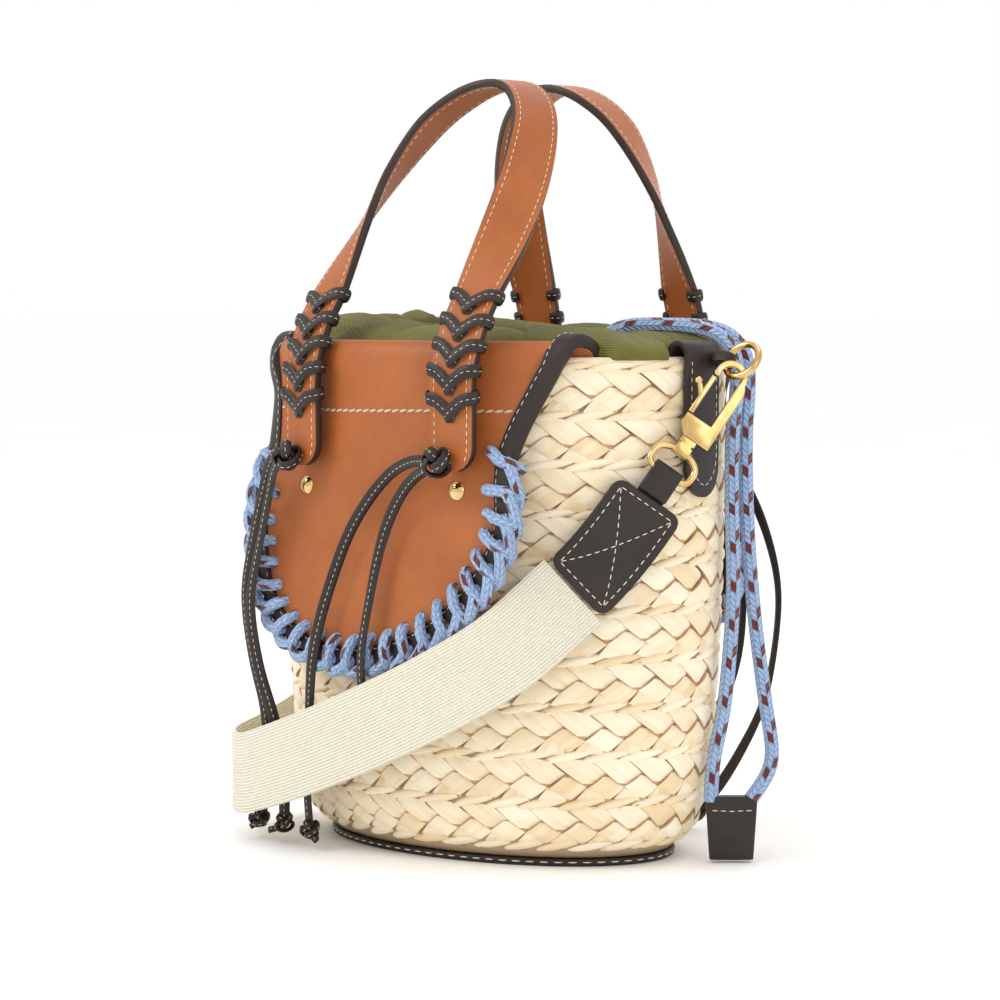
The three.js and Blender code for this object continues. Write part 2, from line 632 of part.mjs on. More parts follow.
function addDrawcord() {
  add('drawcord_front_end', tube(DRAWCORD_ENDS.drawcord_front_end.map((p) => V(...p)), DRAWCORD_R, 8, 30), ROPE);
  add('drawcord_back_end', tube(DRAWCORD_ENDS.drawcord_back_end.map((p) => V(...p)), DRAWCORD_R, 8, 30), ROPE);
  const across = V(0.755, 0.656, 0).normalize();
  const through = V(across.y, -across.x, 0);
  const end = sheet(1, 1, (u, v, w) => TAB_CENTRE.clone()
    .addScaledVector(across, u * mix(9.6, 11.4, v))
    .addScaledVector(through, (w - 0.5) * 6)
    .add(V(0, 0, v * TAB_TALL)));
  add('drawcord_end_tab', end, DARK);
}

// ---------- assembly ----------
addBasket();
addCollar();
addSide('front', (y) => y, bag);
const back = new THREE.Group();
back.rotation.z = Math.PI;
bag.add(back);
// The back handle stands more upright than the front one.
addSide('back', (y, z) => (z > 231 ? mix(y, y - 37, (z - 231) / 109) : y), back);
Object.entries(TAILS).forEach(([name, points]) => add(name, tailGeometry(points), DARK));
add('right_side_tab', tabGeometry(1), DARK);
add('left_side_tab', tabGeometry(-1), DARK);
addStrap();
addDrawcord();

export default bag;
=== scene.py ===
# %% [markdown]
# # A plaited bucket bag
# The bag is an oval palm-leaf basket with a drawstring liner, two leather flaps, laced handles and a webbing
# strap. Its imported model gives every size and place, and this file makes the visible surfaces round it.

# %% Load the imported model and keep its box
import json
import math

import bpy
import numpy as np
from mathutils import Matrix, Vector

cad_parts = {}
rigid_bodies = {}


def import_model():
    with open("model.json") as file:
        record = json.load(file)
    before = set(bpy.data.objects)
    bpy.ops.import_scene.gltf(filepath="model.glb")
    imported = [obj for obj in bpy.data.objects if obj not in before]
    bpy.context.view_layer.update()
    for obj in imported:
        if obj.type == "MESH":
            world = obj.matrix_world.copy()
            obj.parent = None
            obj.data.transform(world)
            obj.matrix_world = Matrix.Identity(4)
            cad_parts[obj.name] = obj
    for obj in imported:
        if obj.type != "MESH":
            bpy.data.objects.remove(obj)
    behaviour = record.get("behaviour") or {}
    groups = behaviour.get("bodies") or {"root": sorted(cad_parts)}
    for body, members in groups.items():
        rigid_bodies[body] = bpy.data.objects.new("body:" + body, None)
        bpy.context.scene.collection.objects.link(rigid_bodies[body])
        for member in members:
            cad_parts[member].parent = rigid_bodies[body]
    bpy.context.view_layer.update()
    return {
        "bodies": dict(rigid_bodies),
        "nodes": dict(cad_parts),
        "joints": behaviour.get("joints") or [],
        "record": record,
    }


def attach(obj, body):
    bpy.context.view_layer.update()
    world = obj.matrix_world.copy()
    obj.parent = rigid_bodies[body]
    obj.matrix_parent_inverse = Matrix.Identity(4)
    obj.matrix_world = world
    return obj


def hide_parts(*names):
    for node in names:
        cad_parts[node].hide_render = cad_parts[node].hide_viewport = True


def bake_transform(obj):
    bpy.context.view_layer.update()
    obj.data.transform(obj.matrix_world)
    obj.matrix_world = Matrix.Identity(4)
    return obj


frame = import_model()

MM = 0.001
noise = np.random.default_rng(7)

# %% [markdown]
# ## Camera, floor and light
# A long lens from the bag's front right corner, a little above the rim, keeps the oval's proportions calm.
# The floor and the world are plain and pale, and four broad area lights wrap the bag without hard shadows.

# %% Camera
VIEW_TURN = math.radians(41)
VIEW_DISTANCE = 1.45
VIEW_HEIGHT = 0.244
VIEW_DOWN = math.radians(3.55)
camera = bpy.data.objects.new("camera", bpy.data.cameras.new("camera"))
bpy.context.scene.collection.objects.link(camera)
camera.location = (math.sin(VIEW_TURN) * VIEW_DISTANCE, -math.cos(VIEW_TURN) * VIEW_DISTANCE, VIEW_HEIGHT)
camera.rotation_euler = (math.pi / 2 - VIEW_DOWN, 0, VIEW_TURN)
camera.data.lens, camera.data.sensor_width = 116, 36
bpy.context.scene.camera = camera

# %% Floor
bpy.ops.object.select_all(action="DESELECT")
bpy.ops.mesh.primitive_plane_add(size=60, location=(0, 0, 0))
floor = bpy.context.object
floor.name = "floor"

# %% Lights
def area_light(name, place, size, power, aim=(0, 0, 0.16)):
    light = bpy.data.objects.new(name, bpy.data.lights.new(name, "AREA"))
    bpy.context.scene.collection.objects.link(light)
    light.data.shape = "DISK"
    light.data.size = size
    light.data.energy = power
    light.location = place
    light.rotation_euler = (Vector(aim) - Vector(place)).to_track_quat("-Z", "Y").to_euler()


area_light("key", (-0.7, -1.3, 1.25), 0.7, 10)
area_light("fill", (1.7, -0.6, 0.8), 1.0, 3)
area_light("top", (0.1, 0.3, 1.7), 1.1, 3)
area_light("back", (-0.6, 1.5, 0.9), 1.2, 3)
world = bpy.data.worlds.new("studio")
bpy.context.scene.world = world
world.use_nodes = True
world.node_tree.nodes["Background"].inputs["Color"].default_value = (1, 1, 1, 1)
world.node_tree.nodes["Background"].inputs["Strength"].default_value = 1.0
bpy.context.scene.view_settings.view_transform = "Standard"

# %% [markdown]
# ## Writing materials as sums
# A node material is easier to read as an expression. This small class wraps a socket, so that adding or
# multiplying two of them adds the Math node, and one method places any other node.

# %% The shader kit
class Socket:
    def __init__(self, paint, link):
        self.paint, self.link = paint, link

    def math(self, operation, other=None, swap=False):
        terms = [self] if other is None else ([other, self] if swap else [self, other])
        return self.paint.node("ShaderNodeMath", {"operation": operation}, dict(enumerate(terms)))

    def __add__(self, other):
        return self.math("ADD", other)

    def __mul__(self, other):
        return self.math("MULTIPLY", other)

    def __sub__(self, other):
        return self.math("SUBTRACT", other)

    def __rsub__(self, other):
        return self.math("SUBTRACT", other, swap=True)

    __radd__, __rmul__ = __add__, __mul__

    def over(self, value):
        return self.math("GREATER_THAN", value)

    def fraction(self):
        return self.math("FRACT")

    def sine(self):
        return self.math("SINE")

    def size(self):
        return self.math("ABSOLUTE")

    def smooth(self, low, high):
        return self.paint.node("ShaderNodeMapRange", {"interpolation_type": "SMOOTHSTEP"},
                               {"Value": self, "From Min": low, "From Max": high}, "Result")


class Paint:
    """One material: paint.node() adds a node, and paint.set() sets the shader's own sockets."""

    def __init__(self, name, roughness=0.5, metallic=0.0, **fixed):
        self.material = bpy.data.materials.new(name)
        self.material.use_nodes = True
        self.tree = self.material.node_tree
        self.shader = self.tree.nodes["Principled BSDF"]
        self.shader.inputs["Roughness"].default_value = roughness
        self.shader.inputs["Metallic"].default_value = metallic
        for key, value in fixed.items():
            self.shader.inputs[key.replace("_", " ")].default_value = value

    def node(self, kind, settings, inputs, output=0):
        node = self.tree.nodes.new(kind)
        for key, value in settings.items():
            setattr(node, key, value)
        for key, value in inputs.items():
            if isinstance(value, Socket):
                self.tree.links.new(value.link, node.inputs[key])
            else:
                node.inputs[key].default_value = value
        return Socket(self, node.outputs[output])

    def uv(self):
        return self.node("ShaderNodeUVMap", {"uv_map": "piece"}, {})

    def place(self):
        return self.node("ShaderNodeTexCoord", {}, {}, "Object")

    def axis(self, vector, which):
        return self.node("ShaderNodeSeparateXYZ", {}, {0: vector}, which)

    def attribute(self, name):
        return self.node("ShaderNodeAttribute", {"attribute_name": name}, {}, "Fac")

    def scaled(self, vector, factors):
        return self.node("ShaderNodeVectorMath", {"operation": "MULTIPLY"}, {0: vector, 1: factors})

    def grain(self, vector, scale, detail=3.0, rough=0.5):
        return self.node("ShaderNodeTexNoise", {}, {"Vector": vector, "Scale": scale, "Detail": detail,
                                                     "Roughness": rough}, 0)

    def blend(self, amount, first, second):
        return self.node("ShaderNodeMix", {"data_type": "RGBA", "clamp_factor": True},
                         {0: amount, 6: first, 7: second}, 2)

    def cells(self, vector, scale):
        return self.node("ShaderNodeTexVoronoi", {}, {"Vector": vector, "Scale": scale}, "Distance")

    def color(self, value):
        self.set("Base Color", value)

    def set(self, key, value):
        if isinstance(value, Socket):
            self.tree.links.new(value.link, self.shader.inputs[key])
        else:
            self.shader.inputs[key].default_value = value

    def relief(self, height, depth, strength=1.0):
        self.set("Normal", self.node("ShaderNodeBump", {}, {"Height": height, "Distance": depth,
                                                             "Strength": strength}, "Normal"))


def rgb(code):
    """A linear colour from the usual six-digit code."""
    parts = [int(code[i:i + 2], 16) / 255 for i in (0, 2, 4)]
    return tuple(c / 12.92 if c <= 0.04045 else ((c + 0.055) / 1.055) ** 2.4 for c in parts) + (1,)


# %% [markdown]
# ## Leather
# Both leathers are pigmented calf: a fine pebble of pores, slow cloudy tone changes where the hide was thicker,
# and a soft sheen. A Voronoi cell pattern gives the pores, and two noises give the clouds and the wear.

# %% Leather finishes
def leather(name, base, deep, light, roughness):
    paint = Paint(name, roughness, Specular_IOR_Level=0.42)
    here = paint.place()
    clouds = paint.grain(here, 34, 5, 0.65)
    fine = paint.grain(here, 900, 2, 0.5)
    pores = paint.cells(here, 1500)
    tone = paint.blend(clouds.smooth(0.2, 0.8), rgb(deep), rgb(light))
    tone = paint.blend(fine.smooth(0.3, 0.75) * 0.35, tone, rgb(base))
    paint.color(tone)
    paint.set("Roughness", clouds * 0.18 + (roughness - 0.09) + fine * 0.06)
    paint.relief(pores * 0.7 + fine * 0.5 + clouds * 0.5, 0.00022, 0.55)
    return paint.material


tan_leather = leather("tan_leather", "a65a26", "9a5221", "b0632c", 0.48)
dark_leather = leather("dark_leather", "241a17", "1c1412", "30241f", 0.46)
thong_leather = leather("thong_leather", "221815", "19110f", "2e221d", 0.42)
edge_paint = leather("edge_paint", "2b1d17", "211510", "3a281f", 0.38)

# %% [markdown]
# ## Palm leaf
# Dried palm strips are pale straw with a satin skin. Fine fibres run along each strip, each strip's border is painted
# a warmer brown as shade where it turns down into the gaps, and every strip has a tone of its own, which is kept as
# an attribute on its faces.

# %% Palm finish
def palm(name, dim=1.0):
    paint = Paint(name, 0.62, Specular_IOR_Level=0.4)
    uv = paint.uv()
    tone = paint.attribute("tone")
    edge = paint.attribute("rim")
    fibres = paint.grain(paint.scaled(uv, (60, 900, 1)), 1.0, 4, 0.65)
    broad = paint.grain(paint.scaled(uv, (20, 190, 1)), 1.0, 2, 0.5)
    blotch = paint.grain(paint.place(), 55, 3, 0.6)
    base = paint.blend(tone, rgb("e8cb9b"), rgb("fbf0d6"))
    base = paint.blend(broad.smooth(0.38, 0.72) * 0.55, base, rgb("fdf3dc"))
    base = paint.blend(fibres.smooth(0.52, 0.8) * 0.55, base, rgb("d9b57c"))
    base = paint.blend(blotch.smooth(0.6, 0.8) * 0.5, base, rgb("dcb67a"))
    # Painted shade: where a strip's border turns down into the gap between strips, it is darkened to warm brown.
    base = paint.blend(edge.smooth(0.84, 1.0) * 0.75, base, rgb("a9763c"))
    # Painted shade: a dimmed palm is blended towards dark brown, so that the layer behind the strips looks shadowed.
    if dim < 1:
        base = paint.blend(1 - dim, base, rgb("6b4521"))
    paint.color(base)
    paint.set("Roughness", fibres * 0.25 + 0.42)
    paint.relief(fibres * 0.7 + broad * 0.6, 0.00045, 0.75)
    return paint.material


palm_leaf = palm("palm_leaf")
# palm_shade is the same leaf dimmed towards dark brown, as painted shade for the hidden layer behind the strips.
palm_shade = palm("palm_shade", 0.4)

# %% [markdown]
# ## Cloth, cord, thread and metal
# The liner is cotton twill with diagonal ribs. The webbing has lengthwise ribs crossed by a fine pick. The cord is a
# round braid in pale blue with rust flecks at a steady pitch, with painted shade in the grooves between its strands.
# All three read the piece's own UV map in metres.

# %% Twill, webbing and cord finishes
def twill():
    paint = Paint("olive_twill", 0.85, Sheen_Weight=0.08, Sheen_Roughness=0.5)
    uv = paint.uv()
    u, v = paint.axis(uv, 0), paint.axis(uv, 1)
    ribs = (u * 2600 + v * 5200).sine()
    weft = (u * 5600 - v * 1500).sine()
    mottle = paint.grain(paint.place(), 60, 4, 0.6)
    color = paint.blend(ribs.smooth(-0.9, 0.9), rgb("4d4a17"), rgb("77732f"))
    color = paint.blend(mottle.smooth(0.3, 0.75) * 0.35, color, rgb("85803c"))
    paint.color(color)
    paint.relief(ribs * 0.5 + weft * 0.2, 0.0003, 0.8)
    return paint.material


def webbing_finish():
    wale_pitch, pick_pitch = 0.00135, 0.0019
    paint = Paint("cream_webbing", 0.88, Sheen_Weight=0.3, Sheen_Roughness=0.6)
    uv = paint.uv()
    u, v = paint.axis(uv, 0), paint.axis(uv, 1)
    wale = (u * (2 * math.pi / wale_pitch)).sine()
    step = (v * (2 * math.pi / pick_pitch) + (u * (math.pi / wale_pitch)).sine().over(0) * math.pi).sine()
    mottle = paint.grain(paint.place(), 500, 3, 0.6)
    color = paint.blend(wale.smooth(-1, 0.6), rgb("cdc4a8"), rgb("efe9d6"))
    color = paint.blend(step.smooth(0.1, 0.95) * 0.3, color, rgb("d6ceb4"))
    color = paint.blend(mottle.smooth(0.35, 0.7) * 0.25, color, rgb("f7f4e8"))
    paint.color(color)
    paint.relief(wale * 0.6 + step * 0.35, 0.00035, 0.9)
    return paint.material


def cord_finish(name, around):
    """around is the number of columns of slanted strands round the whole cord."""
    paint = Paint(name, 0.8, Sheen_Weight=0.3, Sheen_Roughness=0.5)
    uv = paint.uv()
    u, v = paint.axis(uv, 0), paint.axis(uv, 1)
    column = (u * around).math("FLOOR")
    inside = (u * around).fraction()
    way = (column * 0.5).fraction() * 4 - 1
    pitch, fleck_pitch = 0.0027, 0.0168
    strand = ((v * (1 / pitch) + inside * way * 0.95).fraction() - 0.5).size() * -2 + 1
    border = (inside - 0.5).size() * -2 + 1
    height = (strand * 1.4).math("MINIMUM", border * 1.8)
    turns = (v * (1 / fleck_pitch) + column * 0.23 + inside * way * 0.1).fraction()
    chosen = 1 - (column * 0.25).fraction().smooth(0.3, 0.4)
    fleck = turns.smooth(0.0, 0.03) * (1 - turns.smooth(0.27, 0.31)) * chosen
    mottle = paint.grain(paint.place(), 700, 3, 0.6)
    # Painted shade: blue and rust are darker where the braid's height is low, in the grooves between strands.
    groove_shaded_blue = paint.blend(height.smooth(0.05, 0.7), rgb("7593c4"), rgb("acc7ec"))
    groove_shaded_blue = paint.blend(mottle.smooth(0.4, 0.75) * 0.4, groove_shaded_blue, rgb("c6daf5"))
    groove_shaded_rust = paint.blend(height.smooth(0.05, 0.7), rgb("43160d"), rgb("7b2c1a"))
    paint.color(paint.blend(fleck, groove_shaded_blue, groove_shaded_rust))
    paint.relief(height, 0.0007, 0.9)
    return paint.material


def plain_finish(name, base, light, roughness, scale, depth):
    paint = Paint(name, roughness)
    fine = paint.grain(paint.place(), scale, 3, 0.6)
    paint.color(paint.blend(fine.smooth(0.3, 0.7), rgb(base), rgb(light)))
    paint.relief(fine, depth, 0.6)
    return paint.material


def gold_finish():
    paint = Paint("pale_gold", 0.16, 1.0)
    fine = paint.grain(paint.place(), 900, 3, 0.6)
    cloud = paint.grain(paint.place(), 120, 2, 0.5)
    paint.color(paint.blend(cloud.smooth(0.3, 0.7), rgb("cba768"), rgb("e6c891")))
    paint.set("Roughness", fine * 0.08 + cloud * 0.08 + 0.08)
    paint.relief(fine, 0.00003, 0.3)
    return paint.material


olive_twill = twill()
cream_webbing = webbing_finish()
braided_cord = cord_finish("braided_cord", 8)
thread = plain_finish("cream_thread", "d8cba8", "f6efdc", 0.7, 2500, 0.0002)
gold = gold_finish()
floor_white = plain_finish("studio_floor", "fdfdfd", "ffffff", 0.9, 3, 0.0)
floor.data.materials.append(floor_white)

# %% [markdown]
# ## Reading the bag's own shape
# The wall is an oval whose half width grows from the base to the rim, and it is 33 mm shorter from front to back
# than from side to side. Everything sewn on the bag follows it, so these helpers give a point on the wall and the
# direction out of it. They work in millimetres, and a mesh turns into metres when it is made.

# %% The wall's outline
OVAL_STEP = 33
WALL_Z = [3.8, 6.5, 12, 24, 50, 85, 130, 180, 217, 221]
WALL_LONG = [88, 94.5, 100, 104.5, 108.2, 110.8, 112.3, 113, 113, 112]


def unit(v):
    v = np.asarray(v, float)
    return v / np.maximum(np.linalg.norm(v, axis=-1, keepdims=True), 1e-9)


def lengths(line):
    """The distance along a line of points, at each of its points."""
    return np.concatenate([[0], np.cumsum(np.linalg.norm(np.diff(line, axis=0), axis=1))])


def wall_long(z):
    return np.interp(z, WALL_Z, WALL_LONG)


def oval(angle, long_half, z):
    short_half = long_half - OVAL_STEP
    return np.stack([long_half * np.cos(angle), short_half * np.sin(angle), z + 0 * angle], -1)


def oval_out(angle, long_half):
    short_half = long_half - OVAL_STEP
    return unit(np.stack([np.cos(angle) / long_half, np.sin(angle) / short_half, 0 * angle], -1))


ROUND = np.linspace(0, 2 * math.pi, 2881)
ROUND_LENGTH = lengths(oval(ROUND, 112.0, 0 * ROUND))


def wall_at(share, z, out):
    """Points on the wall at a share of the way round, at height z, and out millimetres off it."""
    share, z, out = np.broadcast_arrays(np.asarray(share, float), np.asarray(z, float),
                                        np.asarray(out, float))
    angle = np.interp((share % 1.0) * ROUND_LENGTH[-1], ROUND_LENGTH, ROUND)
    long_half = wall_long(z)
    lean = (wall_long(z - 2) - wall_long(z + 2)) / 4
    outward = oval_out(angle, long_half)
    outward[..., 2] += lean
    return oval(angle, long_half, z) + unit(outward) * out[..., None]


print("round the wall at the rim", round(float(ROUND_LENGTH[-1]), 1), "mm")

# %% [markdown]
# ## Making a piece from points
# Strips, sheets and cords are bent round the bag in ways that no primitive gives, so their points are worked
# out in code and joined by faces. Rings, domes and stitches start from primitives. Each piece gets a UV map
# named piece, in metres along and across the material, so that weave and fibres have their true size, and
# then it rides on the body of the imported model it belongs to.

# %% Pieces, sheets and tubes
def made(name, points, faces, material, uv=None, smooth=38, values=None):
    """One mesh object from points in millimetres. uv is in metres, or in turns round a tube, where the face that
    closes the turn counts on past 1. values holds named numbers per point."""
    mesh = bpy.data.meshes.new(name)
    mesh.from_pydata((np.asarray(points, float) * MM).tolist(), [], [tuple(map(int, f)) for f in faces])
    mesh.update()
    if uv is not None:
        corner = np.empty(len(mesh.loops), np.int32)
        mesh.loops.foreach_get("vertex_index", corner)
        layer = mesh.uv_layers.new(name="piece")
        places = np.asarray(uv, np.float32)[corner]
        first = np.empty(len(mesh.polygons), np.int32)
        mesh.polygons.foreach_get("loop_start", first)
        furthest = np.repeat(np.maximum.reduceat(places[:, 0], first), np.diff(np.append(first, len(places))))
        places[:, 0] += places[:, 0] < furthest - 0.5
        layer.data.foreach_set("uv", places.ravel())
    for key, numbers in (values or {}).items():
        mesh.attributes.new(key, "FLOAT", "POINT").data.foreach_set("value", np.asarray(numbers, np.float32))
    mesh.materials.append(material)
    obj = bpy.data.objects.new(name, mesh)
    bpy.context.scene.collection.objects.link(obj)
    if smooth:
        pick(obj)
        bpy.ops.object.shade_smooth_by_angle(angle=math.radians(smooth))
    return obj


def pick(obj):
    bpy.ops.object.select_all(action="DESELECT")
    obj.select_set(True)
    bpy.context.view_layer.objects.active = obj


def finished(obj, *modifiers):
    """Adds each modifier, given as its type and settings, and applies it."""
    pick(obj)
    for kind, settings in modifiers:
        modifier = obj.modifiers.new(kind.lower(), kind)
        for key, value in settings.items():
            setattr(modifier, key, value)
        bpy.ops.object.modifier_apply(modifier=modifier.name)
    return obj


def outward(obj):
    """Recalculates a closed piece's normals so that its faces point out."""
    pick(obj)
    bpy.ops.object.mode_set(mode="EDIT")
    bpy.ops.mesh.select_all(action="SELECT")
    bpy.ops.mesh.normals_make_consistent(inside=False)
    bpy.ops.object.mode_set(mode="OBJECT")


def fitted(obj, body, slot, *nodes):
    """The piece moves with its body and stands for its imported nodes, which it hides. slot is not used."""
    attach(obj, body)
    if nodes:
        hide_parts(*nodes)
    return obj


def grid_faces(columns, rows, closed=False):
    """Faces of a grid of points stored row by row. A closed grid joins its last column to its first."""
    width = columns if closed else columns + 1
    return [(r * width + c, r * width + (c + 1) % width, (r + 1) * width + (c + 1) % width,
             (r + 1) * width + c)
            for r in range(rows) for c in range(columns)]


def ring_faces(columns, rows):
    """Faces of a closed grid whose last row also joins its first one."""
    last = (rows - 1) * columns
    return grid_faces(columns, rows - 1, True) + [
        (last + c, last + (c + 1) % columns, (c + 1) % columns, c) for c in range(columns)]


def capped_faces(sides, rows):
    """Faces of a closed grid with both of its ends shut."""
    ends = [tuple(range(sides))[::-1], tuple((rows - 1) * sides + i for i in range(sides))]
    return grid_faces(sides, rows - 1, True) + ends


def along_and_across(across, along):
    """A UV map from one row of places across and one of places along."""
    return np.stack(np.broadcast_arrays(across[None, :], along[:, None]), -1).reshape(-1, 2)


def frames_along(line, closed=False):
    """Directions along a line of points, and two across it that turn as little as they can."""
    run = unit(np.roll(line, -1, 0) - np.roll(line, 1, 0) if closed else np.gradient(line, axis=0))
    side = np.empty_like(line)
    first = np.cross(run[0], (0, 0, 1))
    if np.linalg.norm(first) < 0.2:
        first = np.cross(run[0], (1, 0, 0))
    side[0] = unit(first)
    for i in range(1, len(line)):
        side[i] = unit(side[i - 1] - run[i] * np.dot(side[i - 1], run[i]))
    return run, side, np.cross(side, run)


def smooth_line(points, spacing, closed=False):
    """A Catmull-Rom curve through the points, in steps of about the spacing."""
    p = np.asarray(points, float)
    ring = np.vstack([p[-1:], p, p[:2]]) if closed else np.vstack([2 * p[0] - p[1], p, 2 * p[-1] - p[-2]])
    spans = len(p) if closed else len(p) - 1
    line = []
    for i in range(spans):
        a, b, c, d = ring[i:i + 4]
        t = np.linspace(0, 1, 24, endpoint=False)[:, None]
        line.append(0.5 * (2 * b + (c - a) * t + (2 * a - 5 * b + 4 * c - d) * t ** 2
                           + (3 * b - a - 3 * c + d) * t ** 3))
    line = np.vstack(line + [p[:1] if closed else p[-1:]])
    along = lengths(line)
    steps = max(2, round(along[-1] / spacing))
    where = np.linspace(0, along[-1], steps + 1)
    if closed:
        where = where[:-1]
    return np.stack([np.interp(where, along, line[:, k]) for k in range(3)], -1)


def tube_points(line, radius, sides, closed=False, flat=(1, 1), side=None):
    """Points, faces and UVs of a round or oval tube; its open ends are drawn in to a point."""
    line = np.asarray(line, float)
    run, across, over = frames_along(line, closed)
    if side is not None:
        across = unit(np.asarray(side, float) - run * np.sum(np.asarray(side, float) * run, -1,
                                                             keepdims=True))
        over = np.cross(across, run)
    radius = np.broadcast_to(np.asarray(radius, float), len(line))
    turn = np.arange(sides) / sides * 2 * math.pi
    ring = (np.cos(turn)[None, :, None] * across[:, None] * flat[0] + np.sin(turn)[None, :, None] * over[:,
        None] * flat[1])
    points = line[:, None] + ring * radius[:, None, None]
    length = lengths(line)
    uv = along_and_across(np.arange(sides) / sides, length * MM)
    rows = len(line)
    points = points.reshape(-1, 3)
    if closed:
        return points, ring_faces(sides, rows), uv
    faces = grid_faces(sides, rows - 1, True)
    ends = np.array([line[0], line[-1]])
    faces += [(rows * sides, (c + 1) % sides, c) for c in range(sides)]
    last = (rows - 1) * sides
    faces += [(rows * sides + 1, last + c, last + (c + 1) % sides) for c in range(sides)]
    return np.vstack([points, ends]), faces, np.vstack([uv, [[0, 0], [0, length[-1] * MM]]])


def tube(name, line, radius, sides, material, closed=False, flat=(1, 1), side=None):
    points, faces, uv = tube_points(line, radius, sides, closed, flat, side)
    return made(name, points, faces, material, uv, 60)


def many(name, parts, material, smooth=38):
    """One object from several (points, faces, uv) or (points, faces, uv, values)."""
    points, faces, uv, values, count = [], [], [], {}, 0
    for part in parts:
        faces += [tuple(i + count for i in f) for f in part[1]]
        points.append(part[0])
        uv.append(part[2])
        for key, numbers in (part[3] if len(part) > 3 else {}).items():
            values.setdefault(key, []).append(np.broadcast_to(numbers, len(part[0])))
        count += len(part[0])
    return made(name, np.vstack(points), faces, material, np.vstack(uv), smooth,
                {k: np.concatenate(v) for k, v in values.items()})


# %% [markdown]
# ## One stitch, copied many times
# All the sewing on the bag is thick waxed thread. A stitch is a short capsule with both ends sunk into the leather,
# modelled once from a small sphere that is stretched in edit mode, and every seam copies its points.

# %% A stitch
bpy.ops.object.select_all(action="DESELECT")
bpy.ops.mesh.primitive_uv_sphere_add(segments=7, ring_count=6, radius=0.5, location=(0, 0, 0),
                                     rotation=(0, math.pi / 2, 0))
bpy.ops.object.transform_apply(rotation=True)
bpy.ops.object.mode_set(mode="EDIT")
bpy.ops.transform.resize(value=(1, 0.3, 0.3))
bpy.ops.object.mode_set(mode="OBJECT")
stitch_model = bpy.context.object
STITCH_POINTS = np.array([v.co for v in stitch_model.data.vertices])
STITCH_FACES = [tuple(f.vertices) for f in stitch_model.data.polygons]
bpy.data.objects.remove(stitch_model)
print("a stitch has", len(STITCH_FACES), "faces")


def stitch_at(middle, run, out, length, thick):
    """One stitch of this length, lying along run on the side that out points to."""
    run, out = unit(run), unit(out)
    side = np.cross(out, run)
    p = STITCH_POINTS
    height = np.cos(p[:, :1] * math.pi) * 0.55 - 0.2
    points = (np.asarray(middle) + p[:, :1] * length * run + p[:, 1:2] * (thick / 0.3) * side
              + (p[:, 2:] * (thick / 0.3) + height * thick) * out)
    return points, STITCH_FACES, np.zeros((len(p), 2))


def seam_stitches(line, outs, pitch, fill=0.66, thick=0.42, closed=False, slant=0.0):
    """Stitches along a line of points whose outward directions are outs."""
    line, outs = np.asarray(line, float), np.asarray(outs, float)
    if closed:
        line, outs = np.vstack([line, line[:1]]), np.vstack([outs, outs[:1]])
    along = lengths(line)
    count = max(1, round(along[-1] / pitch))
    pitch = along[-1] / count
    stitches = []
    for i in range(count):
        mid = (i + 0.5) * pitch
        a, m, b = ([np.interp(s, along, line[:, k]) for k in range(3)] for s in (mid - pitch / 3, mid,
            mid + pitch / 3))
        out = [np.interp(mid, along, outs[:, k]) for k in range(3)]
        run = unit(np.subtract(b, a))
        run = unit(run + np.cross(unit(out), run) * slant)
        stitches.append(stitch_at(m, run, out, pitch * fill, thick))
    return stitches

# %% [markdown]
# ## The plaited wall
# The maker plaits a long flat braid of palm strips and sews it round in ten turns. Each turn shows one row of
# strips that fall to the right, one row that rise to the right over the first one's ends, the tips that fold under
# at the lower edge, and the folded loops of its upper edge. Each of these four shapes is modelled once as a small
# crowned patch with its edge turned down, and then laid round the oval with small shifts of its own.

# %% One crowned strip end
CELLS = 34
ROW = 20.77
RIM_EDGE_Z = 218.7
ROWS = 10
SEAM_DROP = 3.9  # from a turn's upper edge down to its seam
WALL_DEPTH = 2.9  # from the strips' faces in to the layer behind them
CELL = float(ROUND_LENGTH[-1]) / CELLS
STRIP_U, STRIP_V = 8, 6


def strip_patch(corners, crown, rise, dive):
    """A four-sided strip end in the wall's own (along, up, out) millimetres. Its corners run start left, start
    right, end right, end left; crown arches it along its length, and its border turns down into the wall."""
    a, b, c, d = (np.array(k, float) for k in corners)
    u = np.concatenate([[0], np.linspace(0, 1, STRIP_U - 1), [1]])
    v = np.concatenate([[0], np.linspace(0, 1, STRIP_V - 1), [1]])
    uu, vv = np.meshgrid(u, v)
    flat = ((1 - uu) * (1 - vv))[..., None] * a + ((1 - uu) * vv)[..., None] * b + (uu * vv)[..., None] * c \
        + (uu * (1 - vv))[..., None] * d
    arch = np.sin(np.clip(uu, 0, 1) * math.pi) ** 0.55
    across = 1 - np.abs(vv * 2 - 1) ** 4 * 0.35
    out = rise + crown * arch * across - dive[0] * (1 - uu) ** 3 - dive[1] * uu ** 3
    border = np.zeros(uu.shape, bool)
    border[[0, -1], :] = True
    border[:, [0, -1]] = True
    out = np.where(border, out - 1.3, out)
    points = np.concatenate([flat, out[..., None]], -1).reshape(-1, 3)
    length = np.linalg.norm((d + c - a - b) / 2)
    width = np.linalg.norm((b + c - a - d) / 2)
    uv = np.stack([uu * length, vv * width], -1).reshape(-1, 2) * MM
    # rim is 1 along the border, where the palm finish paints shade into the gaps between strips.
    rim = np.maximum(np.abs(vv * 2 - 1) ** 6, np.abs(uu * 2 - 1) ** 8).reshape(-1)
    return points, uv, rim


